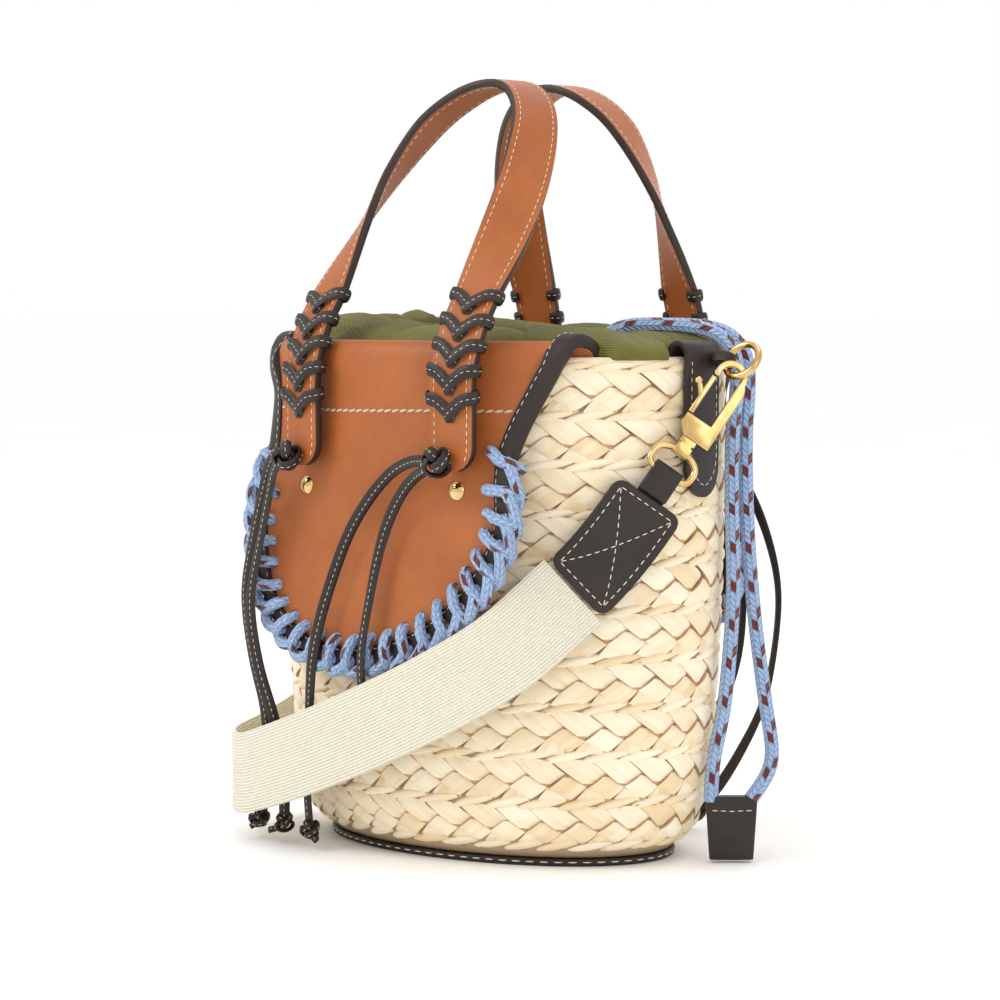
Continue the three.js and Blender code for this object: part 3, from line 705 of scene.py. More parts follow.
PATCH_FACES = grid_faces(STRIP_U, STRIP_V)
half_cell, over_z = CELL * 0.5, 6.1
fall = strip_patch([(-half_cell * 1.0, 6.6), (half_cell * 1.05, 6.6), (CELL * 1.02, 0.25),
                    (half_cell - 0.2, -over_z)],
                   0.9, 1.5, (0.9, 1.1))
rise = strip_patch([(-half_cell - 0.35, -over_z + 0.1), (0.3, -over_z * 2 + 0.2),
                    (half_cell + 0.3, -over_z + 0.1), (-0.3, 0.25)],
                   1.0, 1.5, (0.9, 1.0))
tip = strip_patch([(half_cell, -over_z + 0.3), (CELL + 0.2, -over_z + 0.3), (CELL + 0.2, -over_z * 2 + 0.1),
                   (half_cell * 0.35, -over_z * 2 + 0.1)],
                  0.55, 0.8, (0.6, 0.1))
print("a cell is", round(CELL, 2), "by", ROW, "mm")


# %% The folded loop along a braid's upper edge
def loop_patch():
    u = np.linspace(0, 1, STRIP_U + 1)
    v = np.linspace(-1, 1, STRIP_V + 1)
    uu, vv = np.meshgrid(u, v)
    reach = CELL * 1.42
    half = 2.55 * np.sin(np.clip(uu * 0.94 + 0.03, 0, 1) * math.pi) ** 0.7
    along = (uu - 0.5) * reach + vv * 0.3
    up = 6.5 + 0.35 + (uu - 0.36) * 4.3 + np.sin(uu * math.pi) * 0.5 + vv * half
    out = (1.0 + 1.25 * np.sin(uu * math.pi) ** 0.6 * (1 - np.abs(vv) ** 2.5)
           - 1.1 * np.abs(vv) ** 6 - uu ** 3 * 0.9)
    points = np.stack([along, up, out], -1).reshape(-1, 3)
    uv = np.stack([uu * reach, vv * 2.6], -1).reshape(-1, 2) * MM
    # The last value is 1 along the loop's edges, where the palm finish paints shade.
    return points, uv, (np.abs(vv) ** 5).reshape(-1)


loop = loop_patch()

# %% Lay the braid round the wall
def laid(patch, share, z, twist, lift, tone):
    """One strip end at a share of the way round, turned and lifted a little, with a tone of its own."""
    points, uv, rim = patch
    x, y = points[:, 0], points[:, 1]
    middle_x, middle_y = x.mean(), y.mean()
    c, s = math.cos(twist), math.sin(twist)
    x, y = middle_x + (x - middle_x) * c - (y - middle_y) * s, middle_y + (x - middle_x) * s + (y
        - middle_y) * c
    where = wall_at(share + x / ROUND_LENGTH[-1], z + y, points[:, 2] + lift - WALL_DEPTH)
    offset = noise.uniform(0, 3, 2)
    return where, PATCH_FACES, uv + offset, {"tone": tone, "rim": rim}


STRIP_KINDS = ((fall, 0.62), (rise, 0.5), (tip, 0.35), (loop, 0.55))
strips = []
for row in range(ROWS + 1):
    stitch_z = RIM_EDGE_Z - ROW * row - SEAM_DROP
    phase = noise.uniform(0, 1)
    for cell in range(CELLS):
        share = (cell + phase + noise.normal(0, 0.025)) / CELLS
        row_z = stitch_z - 6.6 + noise.normal(0, 0.12)
        for patch, usual_tone in STRIP_KINDS if row < ROWS else STRIP_KINDS[3:]:
            tone = float(np.clip(noise.normal(usual_tone, 0.24), 0, 1))
            strips.append(laid(patch, share + noise.normal(0, 0.0004), row_z, noise.normal(0, 0.025),
                               noise.normal(0, 0.12), tone))
plait = many("plaited_wall", strips, palm_leaf, 50)
fitted(plait, "basket", "palm")
print("plait", len(strips), "strip ends,", len(plait.data.polygons), "faces")

# %% [markdown]
# Behind the strip ends lies the braid's lower layer. A closed oval shell of the same leaf, darkened towards brown
# as painted shade, stands for it, so that the gaps at the crossings look deep. It also closes the wall down to the
# base.

# %% The braid's lower layer and the basket's floor
def oval_shell(name, outline, columns, material):
    """A closed shell round the oval from an outline of (long half width, height) points."""
    angle = np.linspace(0, 2 * math.pi, columns, endpoint=False)
    points = np.concatenate([oval(angle, r, z) for r, z in outline])
    uv = along_and_across(angle / (2 * math.pi) * 0.6, lengths(np.array(outline)) * MM)
    values = {"tone": np.full(len(points), 0.3), "rim": np.zeros(len(points))}
    obj = made(name, points, ring_faces(columns, len(outline)), material, uv, 50, values)
    outward(obj)
    return obj


shell_outline = [(wall_long(z) - 3.0, z) for z in (218, 215, 180, 130, 85, 50, 24, 12, 6.5)] + [(88.5, 3.9),
    (70, 3.9), (70, 7), (94, 9.5)] \
    + [(wall_long(z) - 6.2, z) for z in (24, 50, 85, 130, 180, 215)]
layer = oval_shell("plait_lower_layer", shell_outline, 96, palm_shade)
fitted(layer, "basket", "palm", "basket_wall")
rim_line = oval(ROUND[:-1:24], 108.6, 217.4 + 0 * ROUND[:-1:24])
rim_roll = tube("rim_roll", rim_line, 2.2, 10, palm_leaf, closed=True, flat=(1.0, 1.2))
for key, number in (("tone", 0.4), ("rim", 0.0)):
    rim_roll.data.attributes.new(key, "FLOAT", "POINT").data.foreach_set("value",
        np.full(len(rim_roll.data.vertices), number, np.float32))
fitted(rim_roll, "basket", "palm")

# %% [markdown]
# Small brown dashes along each turn's seam, one or two to a cell, are painted shadow: they stand for the shade in the
# seam's holes and in the small slits that the turned-in tips leave. All are copies of the one stitch, laid along each
# turn's seam.

# %% Painted shadow along the seams between the turns
# Painted shadow: the brown of these dashes stands for the shade in the holes and slits along each seam.
seam_hole_shadow = plain_finish("seam_hole_shadow", "7a4f24", "a5733c", 0.75, 2500, 0.0001)
hole_shadows = []
for row in range(ROWS + 1):
    stitch_z = RIM_EDGE_Z - ROW * row - SEAM_DROP
    for cell in range(int(CELLS * 1.6)):
        if noise.uniform() < 0.3:
            continue
        share = (cell + noise.uniform(-0.25, 0.25)) / (CELLS * 1.6)
        z = stitch_z + noise.normal(0, 0.35)
        where = wall_at(share, z, -1.15)
        run = unit(wall_at(share + 0.002, z + noise.normal(0, 0.25), -1.2) - where)
        out = unit(wall_at(share, z, 1.0) - where)
        hole_shadows.append(stitch_at(where, run, out, noise.uniform(1.6, 3.4), noise.uniform(0.16, 0.27)))
fitted(many("turn_seam_shadows", hole_shadows, seam_hole_shadow), "basket", "palm")
print("seam stitches", len(hole_shadows))

# %% [markdown]
# ## The leather base
# A thick dark panel is sewn under the basket. Its edge shows below the last turn with a line of cream stitches,
# so the panel is an oval plate with a rounded rim and the stitches stand on its side.

# %% Base panel
BASE_LONG = 90.0
base_outline = [(0.5 + OVAL_STEP, 0.0), (88.6, 0.0), (89.6, 0.4), (BASE_LONG, 1.2), (BASE_LONG, 2.6),
                (89.4, 3.3), (88.4, 3.5), (0.5 + OVAL_STEP, 3.5)]
base = oval_shell("base_leather", base_outline, 120, dark_leather)
fitted(base, "basket", "dark_leather", "base_panel")
base_angle = ROUND[:-1:12]
base_line = oval(base_angle, BASE_LONG, 1.9)
fitted(many("base_stitches", seam_stitches(base_line, oval_out(base_angle, BASE_LONG), 6.2, 0.62, 0.5,
                                           closed=True), thread),
       "basket", "dark_leather")
# The basket's floor inside the liner also takes the dimmed palm, as painted shade.
floor_outline = [(0.5 + OVAL_STEP, 4.2), (83, 4.2), (83, 7.8), (0.5 + OVAL_STEP, 7.8)]
fitted(oval_shell("palm_floor", floor_outline, 72, palm_shade), "basket", "palm", "basket_bottom")

# %% [markdown]
# ## The flaps
# A flap is one piece of calf leather that starts between liner and wall, rolls over the rim and hangs down the
# outside to a rounded tip. Its outline narrows to a waist and then swells. It is a fine grid shaped over the wall,
# given its thickness by Solidify and its soft edge by a bevel, and both sides of the bag use the same functions.

# %% The flap's surface
FOLD_LONG = [104.5, 104.5, 105, 107, 110, 113.6, 115.1]
FOLD_Z = [197, 214, 221, 225, 226, 225, 221]
LEATHER = 2.4
TIP_Z = 86.6
WAIST, WAIST_Z = 71.5, 175
SWELL, SWELL_Z, TIP_DROP, TIP_POWER = 75, 150, 64, 2.1
SIDES = (("front", False), ("back", True))
MARK = {1: "right", -1: "left"}


def ease(t):
    t = np.clip(t, 0, 1)
    return t * t * (3 - 2 * t)


def mixed(a, b, t):
    return a + (b - a) * t


def flap_half(z):
    """Half the flap's width: wide at the rim, then a waist, a swell and a rounded tip."""
    z = np.asarray(z, float)
    above = WAIST + 16.5 * np.clip((z - WAIST_Z) / 51, 0, 1) ** 1.5
    between = mixed(SWELL, WAIST, ease((z - SWELL_Z) / 25))
    below = SWELL * (1 - np.clip((SWELL_Z - z) / TIP_DROP, 0, 1) ** TIP_POWER) ** (1 / TIP_POWER)
    return np.where(z > WAIST_Z, above, np.where(z > SWELL_Z, between, below))


def flap_face(x, z):
    """Height of the flap's middle layer in front of the bag's centre plane."""
    long_half = wall_long(z) + 2.3
    near = (long_half - OVAL_STEP) * np.sqrt(np.clip(1 - (x / long_half) ** 2, 0, 1))
    return mixed(81.3 - 0.0007 * x ** 2, near, ease((z - SWELL_Z) / 64))


def askew(x, z):
    """The hanging part drifts a little to the left and drops at its right, as limp leather does."""
    down = ease((WAIST_Z - z) / 80)
    return x - 5 * down, z + 0.13 * x * down


def hanging_point(x, z, out=0.0):
    """A point of the hanging part, out millimetres in front of its middle layer along its own normal."""
    x, z = askew(np.asarray(x, float), np.asarray(z, float))
    y = flap_face(x, z)
    slope_x = (flap_face(x + 0.5, z) - flap_face(x - 0.5, z))
    slope_z = (flap_face(x, z + 0.5) - flap_face(x, z - 0.5))
    normal = unit(np.stack(np.broadcast_arrays(-slope_x, -1.0, -slope_z), -1))
    place = np.stack(np.broadcast_arrays(x, -y, z), -1)
    return place + normal * np.asarray(out, float)[..., None]


FOLD_STEPS = 14
fold_where = np.linspace(0, 6, FOLD_STEPS + 1)
FOLD_R = np.interp(fold_where, range(7), FOLD_LONG)
FOLD_H = np.interp(fold_where, range(7), FOLD_Z)
for _ in range(2):
    FOLD_R[1:-1] = (FOLD_R[:-2] + 2 * FOLD_R[1:-1] + FOLD_R[2:]) / 4
    FOLD_H[1:-1] = (FOLD_H[:-2] + 2 * FOLD_H[1:-1] + FOLD_H[2:]) / 4


def fold_point(row, x, out=0.0):
    """A point of the part that rolls over the rim, out millimetres off its middle layer."""
    ahead, behind = min(row + 1, FOLD_STEPS), max(row - 1, 0)
    dr, dz = FOLD_R[ahead] - FOLD_R[behind], FOLD_H[ahead] - FOLD_H[behind]
    size = math.hypot(dr, dz)
    radius, height = FOLD_R[row] - dz / size * out, FOLD_H[row] + dr / size * out
    near = (radius - OVAL_STEP) * np.sqrt(1 - (np.asarray(x, float) / radius) ** 2)
    return np.stack(np.broadcast_arrays(x, -near, height), -1)


FLAP_ROWS_Z = np.concatenate([np.linspace(219, SWELL_Z, 24),
                              SWELL_Z - (SWELL_Z - TIP_Z) * np.sin(np.linspace(0, math.pi / 2, 23)[1:])])


def fold_half(row):
    """Half the flap's width where it rolls over the rim."""
    return float(mixed(88.0, 85.4, ease((row - 4) / 10)))


def flap_points(columns=44, out=0.0):
    """The whole flap as rows of points from the hidden end, over the rim and down to the tip."""
    u = np.linspace(-1, 1, columns + 1)
    u = np.sin(u * math.pi / 2) * 0.35 + u * 0.65
    rows = [fold_point(r, u * fold_half(r), out) for r in range(FOLD_STEPS + 1)]
    rows += [hanging_point(u * flap_half(z), z, out * np.ones(columns + 1)) for z in FLAP_ROWS_Z[1:]]
    return np.array(rows)


def turned(points, back):
    """The back of the bag is the front turned half a turn."""
    points = np.array(points, float)
    return points * (-1, -1, 1) if back else points


def turned_all(parts, back):
    """The same for a list of (points, faces, uv) parts."""
    return [(turned(points, back), faces, uv) for points, faces, uv in parts]


# %% Cut and bevel both flaps
def flap_leather(name, back):
    points = flap_points()
    rows, columns = points.shape[0] - 1, points.shape[1] - 1
    along = np.cumsum(np.linalg.norm(np.diff(points[:, columns // 2], axis=0,
                                             prepend=points[:1, columns // 2]), axis=1))
    uv = np.stack([points[..., 0], np.broadcast_to(along[:, None], points.shape[:2])], -1).reshape(-1, 2) * MM
    obj = made(name, turned(points.reshape(-1, 3), back), [f[::-1] for f in grid_faces(columns, rows)],
               tan_leather, uv)
    finished(obj, ("SOLIDIFY", {"thickness": LEATHER * MM, "offset": 0}),
             ("BEVEL", {"width": 0.5 * MM, "segments": 2}))
    obj.data.materials.append(edge_paint)
    return obj


for side, back in SIDES:
    leather_flap = flap_leather(side + "_flap_leather", back)
    fitted(leather_flap, "basket", "tan_leather", side + "_flap")
print("flap", len(leather_flap.data.polygons), "faces")

# %% [markdown]
# A dark strip is folded round the flap's cut edge and sewn down. From its roll over the rim to the tip it is a
# shallow C in section, so its profile is swept along the flap's outline, with stitches on its inner side.

# %% The flap's outline
def outline():
    """Points along the flap's edge from the right of the fold round the tip to the left, with the flap's inward
    direction and its normal at each."""
    halves = []
    for side in (1, -1):
        rows = [(fold_point(r, side * fold_half(r)), fold_point(r, side * fold_half(r), 1.0)) for r in range(2, FOLD_STEPS + 1)]
        for z in FLAP_ROWS_Z[1:-1]:
            half = float(flap_half(z))
            if half > 12:
                rows.append((hanging_point(side * half, z, np.float64(0)),
                             hanging_point(side * half, z, np.float64(1))))
        halves.append(rows)
    tips = np.linspace(10, -10, 6)
    tip_z = SWELL_Z - TIP_DROP * (1 - (np.abs(tips) / SWELL) ** TIP_POWER) ** (1 / TIP_POWER)
    tip = list(zip(hanging_point(tips, tip_z, np.zeros(6)), hanging_point(tips, tip_z, np.ones(6))))
    both = halves[0] + tip + halves[1][::-1]
    edge = np.array([b[0] for b in both])
    normal = unit(np.array([b[1] for b in both]) - edge)
    even = smooth_line(edge, 2.0)
    near = np.array([np.argmin(np.linalg.norm(edge - p, axis=1)) for p in even])
    out = normal[near]
    for _ in range(6):
        out[1:-1] = unit(out[:-2] + 2 * out[1:-1] + out[2:])
    run = unit(np.gradient(even, axis=0))
    inward = unit(np.cross(run, out))
    middle = len(even) // 2
    if inward[middle, 2] < 0:
        inward = -inward
    return even, inward, unit(np.cross(inward, run) * np.sign(np.sum(np.cross(inward, run) * out, -1, keepdims=True)))


def swept(name, line, across, out, profile, material, smooth=45, lift=0.0):
    """A closed profile of (across, out) points swept along a line, with both ends shut. lift raises its outer side."""
    profile = np.array(profile, float)
    rise = profile[None, :, 1:]
    rise = rise + np.where(rise > 1, np.broadcast_to(lift, len(line))[:, None, None], 0)
    points = line[:, None] + profile[None, :, :1] * across[:, None] + rise * out[:, None]
    uv = along_and_across(profile[:, 0] * MM, lengths(line) * MM)
    obj = made(name, points.reshape(-1, 3), capped_faces(len(profile), len(line)), material, uv, smooth)
    outward(obj)
    return obj


C_PROFILE = [(8.0, 1.3), (7.9, 2.0), (6.5, 2.35), (3, 2.45), (0.2, 2.3), (-0.9, 1.4), (-1.3, 0),
             (-0.9, -1.3), (0.2, -1.5),
             (8.0, -1.5), (8.0, -1.0)]
edge_line, edge_inward, edge_out = outline()
over_fold = 2.1 * ease((edge_line[:, 2] - 200) / 13)
for side, back in SIDES:
    edges = [turned(way, back) for way in (edge_line, edge_inward, edge_out)]
    binding = swept(side + "_binding", *edges, C_PROFILE, dark_leather, lift=over_fold)
    fitted(binding, "basket", "dark_leather", side + "_flap_binding")
    stitch_line = edge_line + edge_inward * 6.6 + edge_out * (2.45 + over_fold[:, None])
    stitches = seam_stitches(turned(stitch_line, back), turned(edge_out, back), 3.9, 0.62, 0.33)
    fitted(many(side + "_binding_stitches", stitches, thread), "basket", "dark_leather")
print("binding", round(float(np.linalg.norm(np.diff(edge_line, axis=0), axis=1).sum())), "mm long")

# %% [markdown]
# A row of thick cream hand stitches crosses the flap where the lining ends. Each stitch is a fat twisted thread
# that leans a little, so two rows of the stitch model are laid half a thread off the line.

# %% The hand-sewn row
SEAM_HALF, SEAM_Z = 67.6, 196.5
seam_x = np.linspace(-SEAM_HALF, SEAM_HALF, 90)
seam_z = SEAM_Z + 0.6 * np.sin(seam_x / 30)
seam_row = hanging_point(seam_x, seam_z, np.full(90, LEATHER / 2 + 0.1))
seam_out = unit(seam_row - hanging_point(seam_x, seam_z, np.zeros(90)))
for side, back in SIDES:
    parts = []
    for shift in (0.28, -0.28):
        moved = seam_row + np.array([0, 0, shift]) + seam_out * 0.1
        parts += seam_stitches(turned(moved, back), turned(seam_out, back), 4.3, 0.95, 0.42, slant=0.2)
    fitted(many(side + "_hand_stitches", parts, thread), "basket", "tan_leather")

# %% [markdown]
# ## The rope edge
# A blue and rust braided rope is worked round the flap in blanket stitch. Each stitch goes through the leather
# above the binding, comes down over it as a spoke, and loops along the edge to the next one. A spoke is a short
# plump tube that dives into the leather, and the loops are arcs that overlap like a chain.

# %% Spokes and chain
ROPE_R = 2.6
SPOKE_PITCH, SPOKE_LEAN = 11.6, 1.5
edge_along = lengths(edge_line)
low = np.where(edge_line[:, 2] < WAIST_Z + 1)[0]
rope_from, rope_to = edge_along[low[0]], edge_along[low[-1]]
spokes = round((rope_to - rope_from) / SPOKE_PITCH)


def edge_at(along, inward, out):
    pick_at = [np.interp(along, edge_along, a[:, k]) for a in (edge_line, edge_inward, edge_out) for k in range(3)]
    p, i, o = np.array(pick_at).reshape(3, 3)
    return p + unit(i) * inward + unit(o) * out


def rope_edge(name, back):
    """Spokes with a chain arc after each but the last, as (along, inward, out) points off the flap's edge."""
    parts = []
    pitch = (rope_to - rope_from) / spokes
    for n in range(spokes + 1):
        at = rope_from + (rope_to - rope_from) * n / spokes
        wob = noise.normal(0, 0.5) - SPOKE_LEAN
        spoke = [(wob - SPOKE_LEAN * 0.9, 11.4, 0.6), (wob - SPOKE_LEAN * 0.8, 11.0, 2.6),
                 (wob - SPOKE_LEAN * 0.3, 8.6, 4.4),
                 (-SPOKE_LEAN * 0.6, 4.6, 4.9), (0, 0.2, 3.8), (0.8, -2.6, 1.4), (1.2, -3.4, -1.4)]
        chain = [(-1.5, 2.4, 0.8), (0.5, 0.6, 3.5), (pitch * 0.4, -2.1, 3.9), (pitch * 0.85, -3.4, 2.2),
                 (pitch * 1.25, -2.8, -0.6), (pitch * 1.5, -1.2, -1.6)]
        for path, start in ((spoke, (n * 0.37, n * 0.0071)),
                            (chain, (n * 0.53, n * 0.0113)))[:2 if n < spokes else 1]:
            path = [edge_at(at + along, inward, out) for along, inward, out in path]
            points, faces, uv = tube_points(smooth_line(path, 1.6), ROPE_R, 8)
            parts.append((points, faces, uv + np.array(start)))
    return many(name, turned_all(parts, back), braided_cord, 60)


for side, back in SIDES:
    fitted(rope_edge(side + "_rope_edge", back), "basket", "braided_cord", side + "_flap_edge_rope")
print("rope edge", spokes + 1, "spokes")

# %% [markdown]
# ## Rivets
# Each flap has two small domed gold rivets below its handle. A rivet is a sphere cut down to a cap in edit mode,
# whose edge is then rounded over.

# %% Rivets
RIVET_BALL, RIVET_CUT, RIVET_Z = 4.8, 2.1, 163.0
RIVET_X = {"front": (45.8, -42.2), "back": (44, -44)}


def rivet(name, x, back):
    bpy.ops.object.select_all(action="DESELECT")
    bpy.ops.mesh.primitive_uv_sphere_add(segments=28, ring_count=20, radius=RIVET_BALL * MM,
                                         location=(0, 0, 0))
    obj = bpy.context.object
    obj.name = name
    bpy.ops.object.mode_set(mode="EDIT")
    bpy.ops.mesh.select_all(action="SELECT")
    bpy.ops.mesh.bisect(plane_co=(0, 0, RIVET_CUT * MM), plane_no=(0, 0, 1), clear_inner=True, use_fill=True)
    bpy.ops.mesh.select_all(action="SELECT")
    bpy.ops.transform.translate(value=(0, 0, -RIVET_CUT * MM))
    bpy.ops.transform.resize(value=(1, 1, 0.8), center_override=(0, 0, 0))
    bpy.ops.object.mode_set(mode="OBJECT")
    finished(obj, ("BEVEL", {"width": 0.25 * MM, "segments": 3, "limit_method": "ANGLE"}))
    foot, top = (turned(hanging_point(x, RIVET_Z, LEATHER / 2 + rise), back) for rise in (0, 1))
    out = unit(top - foot)
    obj.data.transform(Matrix.Translation(Vector(foot * MM)) @ Vector(out).to_track_quat("Z",
        "Y").to_matrix().to_4x4())
    obj.data.materials.append(gold)
    bpy.ops.object.shade_smooth_by_angle(angle=math.radians(40))
    return obj


for side, back in SIDES:
    for hand, x in zip((1, -1), RIVET_X[side]):
        name = side + "_" + MARK[-hand if back else hand]
        fitted(rivet(name + "_gold_rivet", x, back), "basket", "gold", name + "_rivet")

# %% [markdown]
# ## The handles
# Each handle is one long strap: two tan faces round a dark core, sewn near both edges. It lies flat on its flap,
# rises, twists by a quarter turn and crosses over as an arch. It is swept along the imported model's own middle
# line as one unbroken piece that follows both the bag and the arch.

# %% The handle's middle line
HANDLE = np.array([[44, -87, 172, 6], [44, -87, 195, 7], [44, -86.8, 213, 8], [44, -80.5, 231, 9],
                   [43.6, -71, 246, 10],
                   [43, -53, 272, 38], [40, -36, 297, 62], [31, -19, 321, 80], [17, -8, 335, 88],
                   [0, -4, 340, 90]], float)
FRONT_SHIFT = 5.5  # the front handle is sewn on a little off the middle of its flap


def handle_line(back):
    """Middle line of a handle in steps of about 2 mm, its width direction, its outer side and the distance along."""
    half = HANDLE.copy()
    if back:
        half[:, 1] -= np.clip((half[:, 2] - 231) / 109, 0, 1) * 37
    other = half[-2::-1] * (-1, 1, 1, -1) + (0, 0, 0, 180)
    knots = np.vstack([half, other]) + (0 if back else FRONT_SHIFT, 0, 0, 0)
    line = smooth_line(knots[:, :3], 2.0)
    along = lengths(line)
    where = [int(np.argmin(np.linalg.norm(line - k[:3], axis=1))) for k in knots]
    turn = np.radians(np.interp(along, along[where], knots[:, 3]))
    run = unit(np.gradient(line, axis=0))
    across = np.stack([np.cos(turn), np.sin(turn), 0 * turn], -1)
    across = unit(across - run * np.sum(across * run, -1, keepdims=True))
    inner = np.cross(run, across)
    return line, across, -inner if inner[0, 1] > 0 else inner, along


STRAP_PROFILE = [(-10.7, 1.75), (-7, 1.9), (0, 1.95), (7, 1.9), (10.7, 1.75), (11.0, 1.3), (11.15, 0),
                 (11.0, -1.3),
                 (10.7, -1.75), (7, -1.85), (0, -1.9), (-7, -1.85), (-10.7, -1.75), (-11.0, -1.3),
                 (-11.15, 0), (-11.0, 1.3)]
DARK_SIDES = {4, 5, 6, 7, 12, 13, 14, 15}


def taper(along):
    """The tongue-shaped ends of a strap."""
    total = along[-1]
    near = np.minimum(along, total - along)
    return np.where(near < 10, np.sqrt(np.clip(1 - ((10 - near) / 10.4) ** 2, 0.04, 1)), 1.0)


def handle_strap(name, back):
    line, across, outer, along = handle_line(back)
    ways = [turned(way, back) for way in (line, across * taper(along)[:, None], outer)]
    obj = swept(name, *ways, STRAP_PROFILE, tan_leather, 50)
    obj.data.materials.append(edge_paint)
    sides = len(STRAP_PROFILE)
    for face in obj.data.polygons:
        side = face.index % sides if face.index < (len(line) - 1) * sides else 4
        face.material_index = 1 if side in DARK_SIDES else 0
    return obj


def bend_with(obj):
    """Bakes a handle piece's transform into its mesh."""
    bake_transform(obj)
    return obj


for side, back in SIDES:
    strap = bend_with(handle_strap(side + "_handle_strap", back))
    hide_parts(side + "_handle", side + "_right_leg", side + "_left_leg")
    line, across, outer, along = handle_line(back)
    parts = []
    for face in (1, -1):
        for edge in (8.3, -8.3):
            keep = (along > 3.5) & (along < along[-1] - 3.5)
            row = (line + across * edge * taper(along)[:, None] + outer * face * 1.88)[keep]
            parts += seam_stitches(turned(row, back), turned(outer * face, back)[keep], 3.6, 0.66, 0.36)
    rows = bend_with(many(side + "_handle_stitches", parts, thread))
print("handle strap", round(float(along[-1])), "mm long")

# %% [markdown]
# ## Thongs: the laced handle feet
# A flat dark thong with a cream stitch down its middle laces each handle foot to the flap in five V-shaped turns.
# One arm of each V tucks under the other at the point and both wrap round the strap's edges, so an arm is a flat
# tube along a short path, twice for each turn.

# %% A flat stitched thong
def thong(line, face, width, thick, sides=10):
    """The points of a flat thong along a line, whose broad side looks along face, and the stitches on it."""
    line = np.asarray(line, float)
    run = unit(np.gradient(line, axis=0))
    face = np.broadcast_to(np.asarray(face, float), line.shape)
    across = unit(np.cross(face, run))
    up = np.cross(run, across)
    strip = tube_points(line, 1.0, sides, flat=(width / 2, thick / 2), side=across)
    row = line + up * (thick / 2 - 0.06)
    return strip, seam_stitches(row, up, 2.9, 0.62, 0.26)


CHEVRON_Z = [197.3, 208.7, 219.5, 230.0, 240.6]


def lacing(side, back, hand):
    line, across, outer, along = handle_line(back)
    if hand < 0:
        line, across, outer, along = line[::-1], -across[::-1], outer[::-1], along[-1] - along[::-1]
    strips, threads = [], []
    for n, z in enumerate(CHEVRON_Z):
        tip = float(np.interp(z, line[:60, 2], along[:60]))

        def local(a, s, h):
            at = tip + s
            p, c, o = (np.array([np.interp(at, along, v[:, k]) for k in range(3)]) for v in (line, across,
                outer))
            return p + unit(c) * a + unit(o) * h

        for arm in ((-1, 1) if n % 2 else (1, -1)):
            over = 0.75 if arm == 1 else 0.0
            path = [local(arm * 8.0, 6.6, -2.9), local(arm * 11.2, 6.4, -2.6), local(arm * 12.5, 6.1, -0.4),
                    local(arm * 11.4, 5.6, 2.4 + over * 0.3), local(arm * 7, 4.6, 3.0 + over),
                    local(arm * 2.5, 1.4, 3.2 + over),
                    local(-arm * 0.6, -1.2, 2.9 + over), local(-arm * 2.4, -2.6, 1.9 + over * 0.5)]
            path = smooth_line(path, 1.1)
            ways = [(0, -1), (0.7, -0.7), (1, 0), (0.5, 0.85), (0, 1), (0, 1), (0, 1), (-0.2, 1)]
            side_way, out_way = unit(local(arm, 2, 0) - local(0, 2, 0)), unit(local(0, 2, 1) - local(0, 2, 0))
            share = np.linspace(0, 1, len(path)) * (len(ways) - 1)
            facing = [np.interp(share, range(len(ways)), [w[k] for w in ways]) for k in (0, 1)]
            strip, sewn = thong(path, facing[0][:, None] * side_way + facing[1][:, None] * out_way, 5.6, 1.6)
            strips.append(strip)
            threads += sewn
    mark = MARK[-hand if back else hand]
    pieces = many(f"{side}_{mark}_thong_turns", turned_all(strips, back), thong_leather, 55)
    bend_with(pieces)
    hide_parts(f"{side}_{mark}_lacing")
    sewing = many(f"{side}_{mark}_thong_turn_stitches", turned_all(threads, back), thread)
    bend_with(sewing)


for side, back in SIDES:
    for hand in (1, -1):
        lacing(side, back, hand)

# %% [markdown]
# The lacing ends in a tight knot on the handle's foot. The thong goes round twice and through itself, which a
# torus-knot path gives, pressed flat against the flap. A small core inside keeps it from looking hollow.

# %% Knots
def knot_parts(centre, size, width, thick, tilt, steps=90):
    """A thong on a torus-knot path that goes round twice and through itself three times."""
    t = np.linspace(0, 2 * math.pi, steps + 1)
    p, q = 2, 3
    ring = 1 + 0.42 * np.cos(q * t)
    shape = np.stack([ring * np.cos(p * t), 0.62 * np.sin(q * t), ring * np.sin(p * t)], -1)
    shape = shape / np.abs(shape).max(0) * (np.asarray(size, float) - thick * 0.5)
    c, s = math.cos(tilt), math.sin(tilt)
    shape = shape @ np.array([[c, 0, s], [0, 1, 0], [-s, 0, c]])
    line = shape + np.asarray(centre, float)
    face = unit(shape * (1, 1.5, 1))
    return thong(line, face, width, thick)


for side, back in SIDES:
    for hand in (1, -1):
        mark = MARK[-hand if back else hand]
        centre = (hand * 44 - 3 + (0 if back else FRONT_SHIFT), -94.2, 176.2)
        strip, threads = knot_parts(centre, (7.0, 5.0, 6.6), 5.0, 2.3, tilt=0.4 * hand)
        ball = STITCH_POINTS * (9.0, 16.0, 21.0) + centre
        strips = [strip, (ball, STITCH_FACES, np.zeros((len(ball), 2)))]
        obj = many(f"{side}_{mark}_thong_knot", turned_all(strips, back), thong_leather, 55)
        fitted(obj, "basket", "thong", f"{side}_{mark}_knot")
        sewing = many(f"{side}_{mark}_knot_stitches", turned_all(threads, back), thread)
        fitted(sewing, "basket", "thong")

# %% [markdown]
# ## Hanging thong tails
# Two tails fall from each knot. They are limp flat thongs that hang close to the bag and end in a small knot with
# a short stub.

